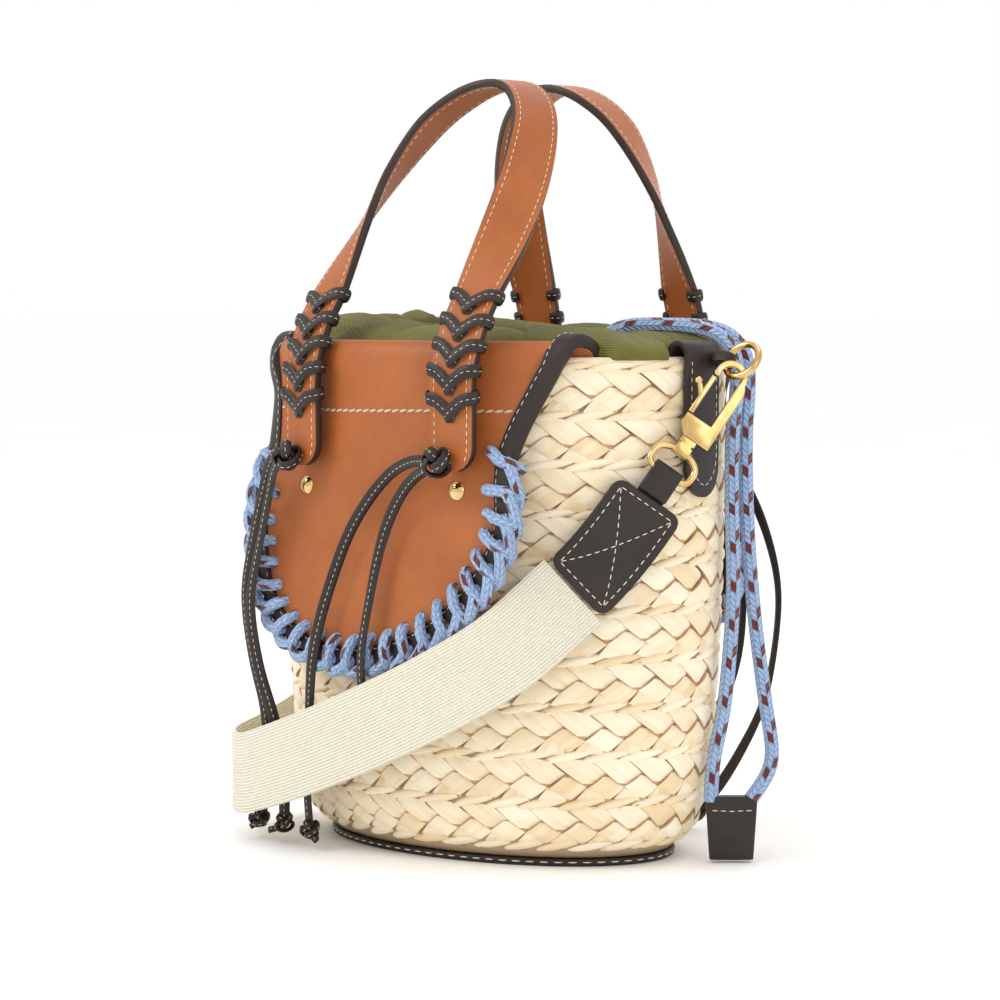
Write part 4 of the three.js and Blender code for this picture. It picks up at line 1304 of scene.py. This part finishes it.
# %% Tails
TAILS = {
    "front_right_tail_1": [[42.5, -97.5, 176.6], [38.5, -96, 176.6], [29, -92.6, 175.6], [13, -90, 168],
                           [-7.6, -89, 146], [-22.5, -89, 116],
                           [-31, -89, 91], [-36, -86, 72], [-41, -82, 52], [-45, -79, 30], [-46, -76, 9]],
    "front_right_tail_2": [[43, -97.5, 172.5], [39, -95.6, 171.6], [32, -92.6, 169], [21, -90, 160],
                           [10.5, -89, 142], [3, -89, 116],
                           [-2.5, -89, 90], [-4, -86, 72], [-5, -82.5, 56]],
    "front_left_tail_1": [[-45, -97, 177], [-48.8, -95.5, 176], [-56, -92, 168], [-69, -89, 135],
                          [-74.5, -88, 112], [-70, -87.5, 84],
                          [-66, -84, 62], [-70, -78, 38], [-78, -72, 20], [-85, -69, 9]],
    "front_left_tail_2": [[-44, -97.5, 173], [-48, -96, 170.5], [-53, -93, 162], [-62.5, -91, 134],
                          [-68.5, -90.5, 110], [-64, -90, 82],
                          [-60, -85, 60], [-60, -78.5, 38], [-64, -74, 20], [-68, -70, 9]],
    "back_right_tail_1": [[51, 97, 177], [55.5, 95.5, 176], [62, 93.5, 168], [78, 92, 145], [88, 91, 118],
                          [89, 89.5, 94],
                          [84, 87, 62], [73, 84, 38], [62, 81, 20], [53, 77, 9]],
    "back_right_tail_2": [[50, 97.5, 173], [55, 96, 170], [60, 93.8, 158], [66, 92, 136], [69, 91, 110],
                          [67, 90, 82],
                          [60, 86, 58], [48, 82, 38], [36, 79.5, 20], [30, 77, 9]],
    "back_left_tail_1": [[-37, 97, 177], [-32.6, 95.5, 176], [-24, 92.8, 170], [-14, 90, 148],
                         [-10, 89, 116], [-9, 89, 90],
                         [-10, 87, 66], [-12, 83, 40], [-14, 80, 20], [-15, 78, 9]],
    "back_left_tail_2": [[-38, 97.5, 173], [-33, 96, 170.5], [-29, 92.6, 162], [-27, 90, 140],
                         [-28, 89, 112], [-31, 89, 88],
                         [-34, 86, 64], [-36, 82, 40], [-37, 79, 20], [-38, 77, 9]],
}


def smoothed(line, rounds=6):
    line = line.copy()
    for _ in range(rounds):
        line[1:-1] = (line[:-2] + 2 * line[1:-1] + line[2:]) / 4
    return line


def tail(name, points, number):
    line = smoothed(smooth_line(points, 3.0))
    front = points[0][1] < 0
    along = lengths(line)
    sway = (0.35 if front else 0.0) + 0.45 * np.sin(along / along[-1] * 5.2 + number * 1.3)
    face = np.stack([np.sin(sway), (-1 if front else 1) * np.cos(sway), 0 * sway], -1)
    (strip, faces, uv), sewn = thong(line, face, 5.0, 1.9)
    obj = made(name + "_thong", strip, faces, thong_leather, uv, 55)
    end = line[-1]
    knot, knot_sewn = knot_parts(end, (4.3, 4.0, 4.6), 3.4, 1.7, tilt=number * 0.9, steps=60)
    stub_line = smooth_line([end + (0, 0, 0), end + np.array([2.5 * math.cos(number), -1.0, -2.4]),
                             end + np.array([7 * math.cos(number), -3.0, -4.0])], 1.2)
    stub, stub_sewn = thong(stub_line, (0, -1, 0.6), 3.4, 1.6)
    ends = many(name + "_end_knot", [knot, stub], thong_leather, 55)
    sewing = many(name + "_stitches", sewn + knot_sewn + stub_sewn, thread)
    fitted(obj, "basket", "thong", name)
    fitted(ends, "basket", "thong")
    fitted(sewing, "basket", "thong")
    line[0] * MM
    line * MM
    print(name, round(float(along[-1])), "mm")


for number, (name, points) in enumerate(TAILS.items()):
    tail(name, points, number)

# %% [markdown]
# ## The drawstring liner
# A pouch of olive twill lines the basket. Its top is gathered on a cord that runs in a sewn channel, so the cloth
# stands in soft puffs over the rim, with sharp valleys between them that grow towards the cord. The puffs are
# modelled straight from that description: an outline turned round the oval, lifted and drawn in by the gathers.

# %% Gathered collar
COLLAR = [(104.6, 214.5, 0.0), (105.3, 217.5, 0.15), (105.0, 220.5, 0.45), (103.6, 223.6, 0.8),
          (100.2, 226.8, 1.1), (95, 229.8, 1.35),
          (88, 230.8, 1.45), (80, 229.8, 1.3), (72, 228.4, 1.25), (66.5, 226.4, 0.9), (63.6, 225.4, 0.4),
          (62.0, 226.6, 0.3),
          (59.5, 227.6, 0.55), (56.2, 226.6, 0.6), (54.0, 223.4, 0.5), (53.8, 219.0, 0.35),
          (56.0, 216.0, 0.25),
          (60.0, 215.2, 0.2), (63.4, 217.6, 0.15), (64.6, 221.5, 0.1), (70, 225.6, 1.2), (80, 227.6, 1.2),
          (93, 227.2, 1.1), (100, 223.4, 0.7),
          (102.8, 217.0, 0.3), (103.4, 214.5, 0.0)]
LIP = [(6.6, 3.6), (6.8, 2.6), (6.4, 2.2), (5.4, 1.4), (2.6, 0.6)]
GATHERS = 15
gather_phase = noise.uniform(0, 2 * math.pi, 5)


def gather(angle):
    """How far the cloth stands at this angle, from about -1 in a valley to 0.6 on a puff."""
    wander = 0.55 * np.sin(3 * angle + gather_phase[0]) + 0.35 * np.sin(5 * angle + gather_phase[1]) \
        + 0.22 * np.sin(8 * angle + gather_phase[2])
    ridge = np.abs(np.sin((GATHERS * angle + wander * 2.2) / 2)) ** 0.62
    return ridge * (1.15 + 0.35 * np.sin(4 * angle + gather_phase[3])) - 0.75


def lip(angle):
    """1 where the cloth laps over the rim at the bag's two sides, and 0 under the flaps and the side tabs."""
    return ease((np.abs(np.cos(angle)) - 0.845) / 0.035) * ease((np.abs(np.sin(angle)) * 76 - 12.6) / 3)


def mouth_lift(angle):
    return 4.5 * (1 - np.cos(angle))


columns = 420
angle = np.linspace(0, 2 * math.pi, columns, endpoint=False)
rows = []
for number, (r, z, amount) in enumerate(COLLAR):
    over_r, over_z = LIP[number] if number < len(LIP) else (0.0, 0.0)
    fullness = np.clip((104 - r) / 40, 0, 1)
    swell = gather(angle + 0.012 * (104 - r) / 40 * np.sin(7 * angle))
    fine = 0.35 * np.sin(61 * angle + r * 0.4 + 2 * np.sin(9 * angle)) * amount * fullness
    radius = r + swell * amount * 0.9 + 0.7 * np.cos(9 * angle) * (amount > 0) * (1 - fullness)
    height = z + mouth_lift(angle) * np.clip((104 - r) / 30, 0,
                                             1) + swell * amount * (1.2 + 1.6 * fullness) + fine
    radius = radius + lip(angle) * (over_r + 0.7 * np.abs(np.sin(17 * angle)))
    height = height + lip(angle) * (over_z + 0.9 * np.abs(np.sin(17 * angle)))
    short = np.maximum(radius - OVAL_STEP, radius * 0.38)
    rows.append(np.stack([radius * np.cos(angle), short * np.sin(angle), height], -1))
along = np.concatenate([[0],
                        np.cumsum([math.hypot(b[0] - a[0], b[1] - a[1]) for a,
                                   b in zip(COLLAR, COLLAR[1:])])]) * MM
uv = along_and_across(angle * 0.095, along)
collar = made("liner_collar_twill", np.concatenate(rows), ring_faces(columns, len(COLLAR)), olive_twill, uv,
              80)
outward(collar)
finished(collar, ("SUBSURF", {"levels": 1, "render_levels": 1}))
fitted(collar, "basket", "olive_twill", "liner_collar")
SEAM_LONG = 64.4
seam_points = oval(angle[::2], SEAM_LONG, 226.8 + mouth_lift(angle[::2]) + gather(angle[::2]) * 1.6)
channel_sewing = seam_stitches(seam_points, np.tile([0, 0, 1.0], (len(seam_points), 1)), 3.0, 0.7, 0.3,
                               closed=True)
olive_thread = plain_finish("olive_thread", "4f5026", "6b6b38", 0.8, 2500, 0.0001)
fitted(many("channel_stitches", channel_sewing, olive_thread), "basket", "olive_twill")
pouch_outline = [(0.6 + OVAL_STEP, 9.2), (82, 9.2), (94, 10.2), (97.2, 14), (99.5, 30), (101.5, 60),
                 (102.2, 120), (102.9, 180), (103.2, 213),
                 (101.9, 213), (101.4, 180), (100.8, 120), (100.1, 60), (98.1, 30), (95.8, 15.2), (92, 11.6),
                 (82, 10.8), (0.6 + OVAL_STEP, 10.8)]
pouch = oval_shell("liner_pouch_twill", pouch_outline, 120, olive_twill)
fitted(pouch, "basket", "olive_twill", "liner_pouch")
print("collar", len(collar.data.polygons), "faces")

# %% [markdown]
# ## The drawcord
# The cord runs round the mouth inside the channel, comes out at the right-hand side, goes over the rim as two limp
# strands and ends in a stitched leather tab. It has the same braid as the edge of the flaps.

# %% Drawcord
CORD_R = 3.2
loop_angle = np.linspace(0.12, 2 * math.pi - 0.05, 150)
loop_line = np.stack([59.5 * np.cos(loop_angle), 26.5 * np.sin(loop_angle), 221 + mouth_lift(loop_angle)], -1)
fitted(tube("drawcord_in_channel", loop_line, CORD_R, 12, braided_cord), "basket", "braided_cord",
       "drawcord_loop")
CORD_ENDS = {
    "drawcord_front_end": [[59.6, -3.5, 221.5], [61.5, -2.2, 227], [66, 1.0, 231.4], [71, 3.5, 233.0],
                           [82, 8, 233.4], [97, 15, 232.6], [108, 19.5, 229.4], [115.5, 21.5, 221],
                           [116.5, 22, 208], [114, 22, 185], [113.5, 22.5, 155], [114, 23, 115],
                           [112, 20, 70], [109.5, 15.5, 45],
                           [108.6, 14.6, 26.5]],
    "drawcord_back_end": [[58.6, 6.5, 221.5], [60.5, 8.0, 227], [65.5, 10.8, 231.2], [71, 12.8, 232.8],
                          [82, 17, 233.2], [96, 24, 232.6], [107, 28.5, 229.4], [114.5, 30.5, 221],
                          [116, 31, 208], [114.5, 31, 185], [115, 31.5, 150], [117, 34, 110], [120, 38, 72],
                          [124.5, 38, 48],
                          [125.6, 33, 38], [121.8, 26.0, 27.5]],
}
tab_across, tab_middle = unit([0.755, 0.656, 0]), np.array([115.5, 20.5, 0])
tab_through = np.array([tab_across[1], -tab_across[0], 0])


def tab_point(u, z, out):
    """A point of the cord's leather end: u from -1 to 1 across, at height z, out millimetres through it."""
    half = mixed(9.6, 11.4, (z - 1.2) / 27.8)
    return tab_middle + tab_across * u * half + tab_through * out + np.array([0, 0, z])


tab_rows = []
for z, shut in ((1.25, 0.82), (1.7, 0.93), (2.6, 0.985), (6, 1), (12, 1), (18, 1), (24, 1), (27.4, 0.99),
                (28.5, 0.94), (28.95, 0.85)):
    ring = []
    for u, out in ((-1, -0.4), (-0.97, -2.2), (-0.8, -2.85), (-0.4, -3.05), (0, -3.1), (0.4, -3.05),
                   (0.8, -2.85), (0.97, -2.2), (1, -0.4),
                   (1, 0.4), (0.97, 2.2), (0.8, 2.85), (0.4, 3.05), (0, 3.1), (-0.4, 3.05), (-0.8, 2.85),
                   (-0.97, 2.2), (-1, 0.4)):
        ring.append(tab_point(u * (0.94 + 0.06 * shut), z, out * shut * (1 if z < 26 else 0.96)))
    tab_rows.append(ring)
tab_points = np.array(tab_rows)
faces = capped_faces(tab_points.shape[1], len(tab_rows))
end_tab = made("cord_end_leather", tab_points.reshape(-1, 3), faces, dark_leather,
               np.zeros((tab_points.size // 3, 2)), 40)
outward(end_tab)
fitted(end_tab, "basket", "dark_leather", "drawcord_end_tab")
parts = []
for out in (1, -1):
    row = np.array([tab_point(u, 22.6 + 0.5 * abs(u), 3.05 * out) for u in np.linspace(-0.84, 0.84, 12)])
    parts += seam_stitches(row, np.tile(tab_through * out, (12, 1)), 3.4, 0.7, 0.42)
tab_sewing = fitted(many("cord_end_stitches", parts, thread), "basket", "dark_leather")
for name, points in CORD_ENDS.items():
    line = smoothed(smooth_line(points, 3.0), 3)
    obj = tube(name + "_braid", line, CORD_R, 14, braided_cord)
    fitted(obj, "basket", "braided_cord", name)
    line[0] * MM
    line * MM

# %% [markdown]
# ## Side tabs
# On each side a dark leather tongue is folded over the rim and sewn to the wall. It carries a round keeper for the
# ring that the strap hooks on to. The tongue follows the same roll over the rim as the flaps.

# %% Side tabs
TAB_HALF = 11.0


def tab_surface(u, t, side, out):
    """u from -1 to 1 across the tab, t from 0 at its hidden end to 1 at its rounded tip."""
    total_fold = 0.34
    if t <= total_fold:
        where = t / total_fold * FOLD_STEPS
        row = min(int(where), FOLD_STEPS - 1)
        f = where - row
        dr, dz = FOLD_R[row + 1] - FOLD_R[row], FOLD_H[row + 1] - FOLD_H[row]
        size = math.hypot(dr, dz)
        r, z, nr, nz = FOLD_R[row] + dr * f, FOLD_H[row] + dz * f, -dz / size, dr / size
        y = u * TAB_HALF
    else:
        s = (t - total_fold) / (1 - total_fold)
        z = mixed(221, 160, s)
        settle = 1.7 + 0.5 * (1 - min(1, s * 6))
        r, nr, nz = wall_long(z) + settle, 1.0, 0.0
        y = u * TAB_HALF * math.sqrt(max(1 - max(0, (s - 0.78) / 0.22) ** 2, 0.02))
    r, z = r + nr * out, z + nz * out
    return np.array([side * r * math.sqrt(1 - (y / (r - OVAL_STEP)) ** 2), y, z])


def side_tab(name, side):
    us = np.linspace(-1, 1, 11)
    ts = np.concatenate([np.linspace(0, 0.34, 18), np.linspace(0.34, 0.82, 12)[1:],
                         0.82 + 0.18 * np.sin(np.linspace(0, math.pi / 2, 9))[1:]])
    points = np.array([[tab_surface(u, t, side, 0.0) for u in us] for t in ts])
    uv = np.stack(np.meshgrid(us * 0.011, ts * 0.09), -1).reshape(-1, 2)
    obj = made(name, points.reshape(-1, 3), grid_faces(len(us) - 1, len(ts) - 1), dark_leather, uv)
    finished(obj, ("SOLIDIFY", {"thickness": 2.4 * MM, "offset": 0}),
             ("BEVEL", {"width": 0.5 * MM, "segments": 2}))
    outward(obj)
    rim = [(0.78, t) for t in np.linspace(0.36, 0.80, 16)]
    rim += [(0.78 * math.cos(a), 0.80 + 0.145 * math.sin(a)) for a in np.linspace(0.15, math.pi - 0.15, 12)]
    rim += [(-0.78, t) for t in np.linspace(0.80, 0.36, 16)]
    row = np.array([tab_surface(u, t, side, 1.25) for u, t in rim])
    outs = unit(row - np.array([tab_surface(u, t, side, 0.2) for u, t in rim]))
    return obj, many(name + "_stitches", seam_stitches(row, outs, 3.6, 0.66, 0.34), thread)


for mark, side in (("right", 1), ("left", -1)):
    for obj, nodes in zip(side_tab(mark + "_tab_leather", side), ((mark + "_side_tab",), ())):
        fitted(obj, "basket", "dark_leather", *nodes)

# %% [markdown]
# ## Snap hooks and rings
# The strap hooks on to a ring at each side. The hooks are cast in pale gold: a flat bar that curls over at the top,
# a sprung gate with a small lever, and a swivel with a squared ring. Plates are drawn as an outline that is given
# its thickness and soft edges by modifiers. Wires are tubes. All are set in a frame of the hook's own.

# %% The hook's frame
RING_CENTRE = np.array([131.0, 6, 218.5])
RING_R, WIRE_R = 8.0, 1.5
PULL = {"right": unit([-0.27, -0.53, -0.8]), "left": unit([0, 0.45, -0.89])}
FACE = {"right": np.array([0.716, -0.689, 0.118]), "left": np.array([-1.0, 0, 0])}
HOOK_LENGTH, EYE_Y, LOOP_START, PATCH_START = 33.5, 45.5, 51.5, 63.8


def hook_frame(hand):
    pull, side = PULL[hand], 1 if hand == "right" else -1
    face = unit(FACE[hand] - pull * np.dot(FACE[hand], pull)) * (-side)
    across = np.cross(pull, face)
    origin = RING_CENTRE * (side, 1, 1) + pull * RING_R
    return origin, np.stack([across, pull, face])


def set_in(frame, points):
    origin, axes = frame
    return origin + np.asarray(points, float) @ axes


def set_object(obj, frame):
    """Moves a finished mesh, made round the origin in millimetres of its own frame, to its place."""
    origin, axes = frame
    matrix = Matrix.Translation(Vector(origin * MM)) @ Matrix(axes.T.tolist()).to_4x4()
    obj.data.transform(matrix)
    obj.data.update()
    return obj


def arc(x, y, radius, start, end, steps):
    a = np.radians(np.linspace(start, end, steps))
    return [(x + radius * math.cos(t), y + radius * math.sin(t)) for t in a]


def plate(name, corners, thick, material, bevel=0.5, segments=3):
    """A flat casting or leather piece from its outline."""
    points = [(x, y, 0) for x, y in corners]
    obj = made(name, points, [tuple(range(len(points)))], material, np.array(corners) * MM)
    finished(obj, ("SOLIDIFY", {"thickness": thick * MM, "offset": 0}),
             ("BEVEL", {"width": bevel * MM, "segments": segments, "limit_method": "ANGLE",
                        "angle_limit": math.radians(35)}))
    outward(obj)
    return obj


def joined(name, objects):
    bpy.ops.object.select_all(action="DESELECT")
    for obj in objects:
        obj.select_set(True)
    bpy.context.view_layer.objects.active = objects[0]
    bpy.ops.object.join()
    objects[0].name = name
    bpy.ops.object.shade_smooth_by_angle(angle=math.radians(35))
    return objects[0]


# %% Cast hook, gate, swivel and ring
HOOK_OUTLINE = [(9, HOOK_LENGTH), (9, 5), (8.2, 2.6)] + arc(0, 1.2, 7.2, 0, -180, 22) + [(-7.2, 3.4),
    (-6.6, 4), (-5.2, 4), (-4.6, 3.4)] \
    + arc(0, 1.2, 4.6, -180, 0, 16) + [(4.6, 24), (-7.2, 24), (-7.2, 29), (-3, HOOK_LENGTH)]
GATE_OUTLINE = [(-4.9, 4.6), (-4.9, 23.4), (-7.2, 23.4), (-7.2, 4.6)]


def snap_hook(hand):
    frame = hook_frame(hand)
    body = plate(hand + "_hook_cast", HOOK_OUTLINE, 3.4, gold, 0.7, 4)
    fitted(set_object(body, frame), hand + "_hook", "gold", hand + "_hook_body")
    gate = plate("gate", GATE_OUTLINE, 2.6, gold, 0.6, 3)
    lever_line = smooth_line([(-6.3, 14.5, 0), (-8.3, 12.0, 0), (-10.6, 9.9, 0)], 0.8)
    points, faces, uv = tube_points(lever_line, np.linspace(1.35, 1.1, len(lever_line)), 14)
    lever = made("lever", points, faces, gold, uv, 40)
    bpy.ops.object.select_all(action="DESELECT")
    bpy.ops.mesh.primitive_uv_sphere_add(segments=20, ring_count=14, radius=1.75 * MM,
                                         location=(-10.7 * MM, 9.9 * MM, 0))
    knob = bpy.context.object
    bpy.ops.object.transform_apply(location=True)
    knob.data.materials.append(gold)
    trigger = joined(hand + "_hook_gate", [gate, lever, knob])
    fitted(set_object(trigger, frame), hand + "_trigger", "gold", hand + "_hook_trigger")
    t = np.linspace(0, 2 * math.pi, 96, endpoint=False)
    x, y = np.cos(t), np.sin(t)
    squared_x, squared_y = (np.where(y > 0, np.sign(v) * np.abs(v) ** 0.5, v) for v in (x, y))
    line = np.stack([squared_x * 10, EYE_Y + squared_y * 6, 0 * t], -1)
    even = smooth_line(line[::3], 1.0, closed=True)
    ring = tube("ring", even, WIRE_R, 14, gold, closed=True)
    stud = plate("stud", [(-3.5, 33.75), (3.5, 33.75), (3.5, 36.2), (2.6, 36.4), (2.6, 37.0), (3.6, 37.2),
                          (3.6, 41.6), (-3.6, 41.6), (-3.6, 37.2),
                          (-2.6, 37.0), (-2.6, 36.4), (-3.5, 36.2)], 5.6, gold, 0.45, 3)
    eye = joined(hand + "_hook_swivel_ring", [stud, ring])
    fitted(set_object(eye, frame), "shoulder_strap", "gold", hand + "_hook_eye")
    inner, outer = 2.0, 3.7
    bend = [(inner, 11.5), (inner, 0)] + arc(0, 0, inner, 0, -180, 12)[1:] + [(-inner, 11.5), (-outer, 11.5),
        (-outer, 0)] \
        + arc(0, 0, outer, -180, 0, 16)[1:] + [(outer, 11.5)]
    leather_loop = plate(hand + "_loop_leather", bend, 13, dark_leather, 0.45, 2)
    leather_loop.data.transform(Matrix.Translation((0, LOOP_START * MM, 0)) @ Matrix.Rotation(math.pi / 2, 4,
        "Y"))
    fitted(set_object(leather_loop, frame), "shoulder_strap", "dark_leather", hand + "_strap_loop")


def ring_and_keeper(hand):
    side = 1 if hand == "right" else -1
    out, down = np.array([side, 0.0, 0]), unit(PULL[hand] * (0, 1, 1))
    centre = RING_CENTRE * (side, 1, 1)
    bpy.ops.object.select_all(action="DESELECT")
    bpy.ops.mesh.primitive_torus_add(major_radius=RING_R * MM, minor_radius=WIRE_R * MM, major_segments=56,
                                     minor_segments=14)
    ring = bpy.context.object
    ring.name = hand + "_gold_ring"
    ring.data.materials.append(gold)
    bpy.ops.object.shade_smooth_by_angle(angle=math.radians(40))
    fitted(set_object(ring, (centre, np.stack([out, down, np.cross(out, down)]))), "shoulder_strap", "gold",
           hand + "_ring")
    turn = np.linspace(0, 2 * math.pi, 40, endpoint=False)
    hole = np.stack([2.3 * np.cos(turn), 2.3 * np.sin(turn)], -1)
    rim = np.array([(3.7 * math.cos(a), 3.7 * math.sin(a)) if math.cos(a) > -0.02
                    else (max(-6.4, 3.7 / max(abs(math.tan(a)),
                                              1e-6) * -1 if abs(math.tan(a)) > 3.7 / 6.4 else -6.4),
                          3.7 * np.sign(math.sin(a)) if abs(math.tan(a)) > 3.7 / 6.4 else -6.4 * math.tan(a))
                    for a in turn])
    points = [(x, y, 0) for x, y in np.vstack([hole, rim])]
    keeper = made(hand + "_keeper_leather", points, grid_faces(40, 1, True), dark_leather,
                  np.vstack([hole, rim]) * MM)
    finished(keeper, ("SOLIDIFY", {"thickness": 5 * MM, "offset": 0}),
             ("BEVEL", {"width": 0.4 * MM, "segments": 2, "limit_method": "ANGLE",
                        "angle_limit": math.radians(40)}))
    outward(keeper)
    hold = centre - out * RING_R
    fitted(set_object(keeper, (hold, np.stack([out, np.cross(down, out), down]))), "shoulder_strap",
           "dark_leather", hand + "_ring_keeper")


for hand in ("right", "left"):
    snap_hook(hand)
    ring_and_keeper(hand)
print("hooks and rings done")

# %% [markdown]
# ## The shoulder strap
# The strap is thick cotton webbing, held at both ends in a leather patch sewn with a box and a cross. It hangs from
# the right-hand hook, swings over the front, goes round the left side and up to the other hook. The webbing is a
# flat band swept along that line with its broad side turned to follow the bag.

# %% Webbing
WEBBING = [[[91, -58, 122], [0.75, -0.62, 0.2]], [[71, -78, 97], [0.55, -0.8, 0.2]],
           [[41, -90, 77.5], [0.25, -0.95, 0.1]],
           [[3, -93, 60], [0.05, -1, 0]], [[-30, -93, 47], [-0.05, -1, 0]],
           [[-57, -90, 38], [-0.25, -0.97, 0]],
           [[-84, -81, 31], [-0.6, -0.8, 0]], [[-109, -60, 30], [-0.85, -0.5, 0]],
           [[-124, -24, 33], [-1, -0.2, 0]],
           [[-130, 12, 42], [-1, 0, 0]], [[-131, 44, 56], [-1, 0, 0]], [[-131, 64, 75], [-1, 0, 0]],
           [[-131, 68, 94], [-1, 0, 0]], [[-131, 62, 108], [-1, 0, 0]]]
WEBBING_WIDTH, WEBBING_THICK = 36.0, 2.2


def band_frames(points, faces, spacing):
    line = smoothed(smooth_line(points, spacing), 4)
    knots = np.array([int(np.argmin(np.linalg.norm(line - p, axis=1))) for p in points])
    face = np.stack([np.interp(np.arange(len(line)), knots, np.array(faces)[:, k]) for k in range(3)], -1)
    face = smoothed(face, 12)
    run = unit(np.gradient(line, axis=0))
    face = unit(face - run * np.sum(face * run, -1, keepdims=True))
    return line, run, face, np.cross(run, face)


line, run, face, across = band_frames([np.array(p, float) for p, _ in WEBBING], [f for _, f in WEBBING], 2.5)
u = np.array([-1, -0.97, -0.9, -0.6, -0.3, 0, 0.3, 0.6, 0.9, 0.97, 1])
edge_roll = np.array([-0.45, -0.1, 0.12, 0, 0, 0, 0, 0, 0.12, -0.1, -0.45])
thick = WEBBING_THICK / 2 + edge_roll
profile = np.concatenate([np.stack([u * WEBBING_WIDTH / 2, thick], -1),
                          np.stack([u * WEBBING_WIDTH / 2, -thick], -1)[::-1]])
webbing = swept("cotton_webbing", line, across, face, profile, cream_webbing, 40, lift=0.0)
fitted(webbing, "shoulder_strap", "canvas", "strap_webbing")


# %% Patches
PATCH_WIDTH, PATCH_THICK, PATCH_CORNER = 33.0, 4.6, 5.0


def patch_path(hand):
    origin, axes = hook_frame(hand)
    start = set_in((origin, axes), [0, PATCH_START, 0])
    end, after = (line[0], line[1]) if hand == "right" else (line[-1], line[-2])
    beyond = unit(end - after)
    last = end + beyond * 1.2
    third = np.linalg.norm(start - last) / 3
    one, two = start + PULL[hand] * third, last + beyond * third
    t = np.linspace(0, 1, 30)[:, None]
    bezier = (1 - t) ** 3 * start + 3 * (1 - t) ** 2 * t * one + 3 * (1 - t) * t ** 2 * two + t ** 3 * last
    end_face = face[0] if hand == "right" else face[-1]
    turn = FACE[hand] * (1 - t) + end_face * t
    run = unit(np.gradient(bezier, axis=0))
    turn = unit(turn - run * np.sum(turn * run, -1, keepdims=True))
    return bezier, run, turn, np.cross(run, turn)


def patch(hand):
    path, run_, face_, across_ = patch_path(hand)
    along_ = lengths(path)
    length = along_[-1]

    def point(a, b, out):
        """a across from the middle, b along from the start, out off the middle layer."""
        p, f, c = (np.array([np.interp(b, along_, v[:, k]) for k in range(3)]) for v in (path, face_,
            across_))
        return p + unit(c) * a + unit(f) * out

    us, vs = np.linspace(-1, 1, 15), np.linspace(-1, 1, 23)
    points = []
    for v in vs:
        for u_ in us:
            a, b = u_ * PATCH_WIDTH / 2, v * length / 2
            dx, dy = abs(a) - (PATCH_WIDTH / 2 - PATCH_CORNER), abs(b) - (length / 2 - PATCH_CORNER)
            if dx > 0 and dy > 0:
                k = max(dx, dy) / math.hypot(dx, dy)
                a, b = math.copysign(PATCH_WIDTH / 2 - PATCH_CORNER + dx * k,
                                     a), math.copysign(length / 2 - PATCH_CORNER + dy * k, b)
            points.append(point(a, b + length / 2, 0.0))
    uv_ = np.stack(np.meshgrid(us * PATCH_WIDTH / 2 * MM, vs * length / 2 * MM), -1).reshape(-1, 2)
    obj = made(hand + "_patch_leather", points, grid_faces(14, 22), dark_leather, uv_)
    finished(obj, ("SOLIDIFY", {"thickness": PATCH_THICK * MM, "offset": 0}),
             ("BEVEL", {"width": 0.8 * MM, "segments": 3, "limit_method": "ANGLE",
                        "angle_limit": math.radians(40)}))
    outward(obj)
    half, low, high = PATCH_WIDTH / 2 - 3.4, 3.4, length - 3.4
    legs = [[(-half, low), (half, low)], [(half, low), (half, high)], [(half, high), (-half, high)],
            [(-half, high), (-half, low)],
            [(-half, low), (half, high)], [(half, low), (-half, high)]]
    parts = []
    for out in (1, -1):
        for (a0, b0), (a1, b1) in legs:
            t = np.linspace(0, 1, 16)
            row = np.array([point(mixed(a0, a1, s), mixed(b0, b1, s),
                                  out * (PATCH_THICK / 2 + 0.03)) for s in t])
            outs = unit(row - np.array([point(mixed(a0, a1, s), mixed(b0, b1, s), 0) for s in t]))
            parts += seam_stitches(row, outs, 3.7, 0.66, 0.44)
    sewing = many(hand + "_patch_stitches", parts, thread)
    fitted(obj, "shoulder_strap", "dark_leather", hand + "_strap_patch")
    fitted(sewing, "shoulder_strap", "dark_leather")
    print(hand, "patch", round(length, 1), "mm long")
    return obj, sewing


patches = [p for hand in ("right", "left") for p in patch(hand)]
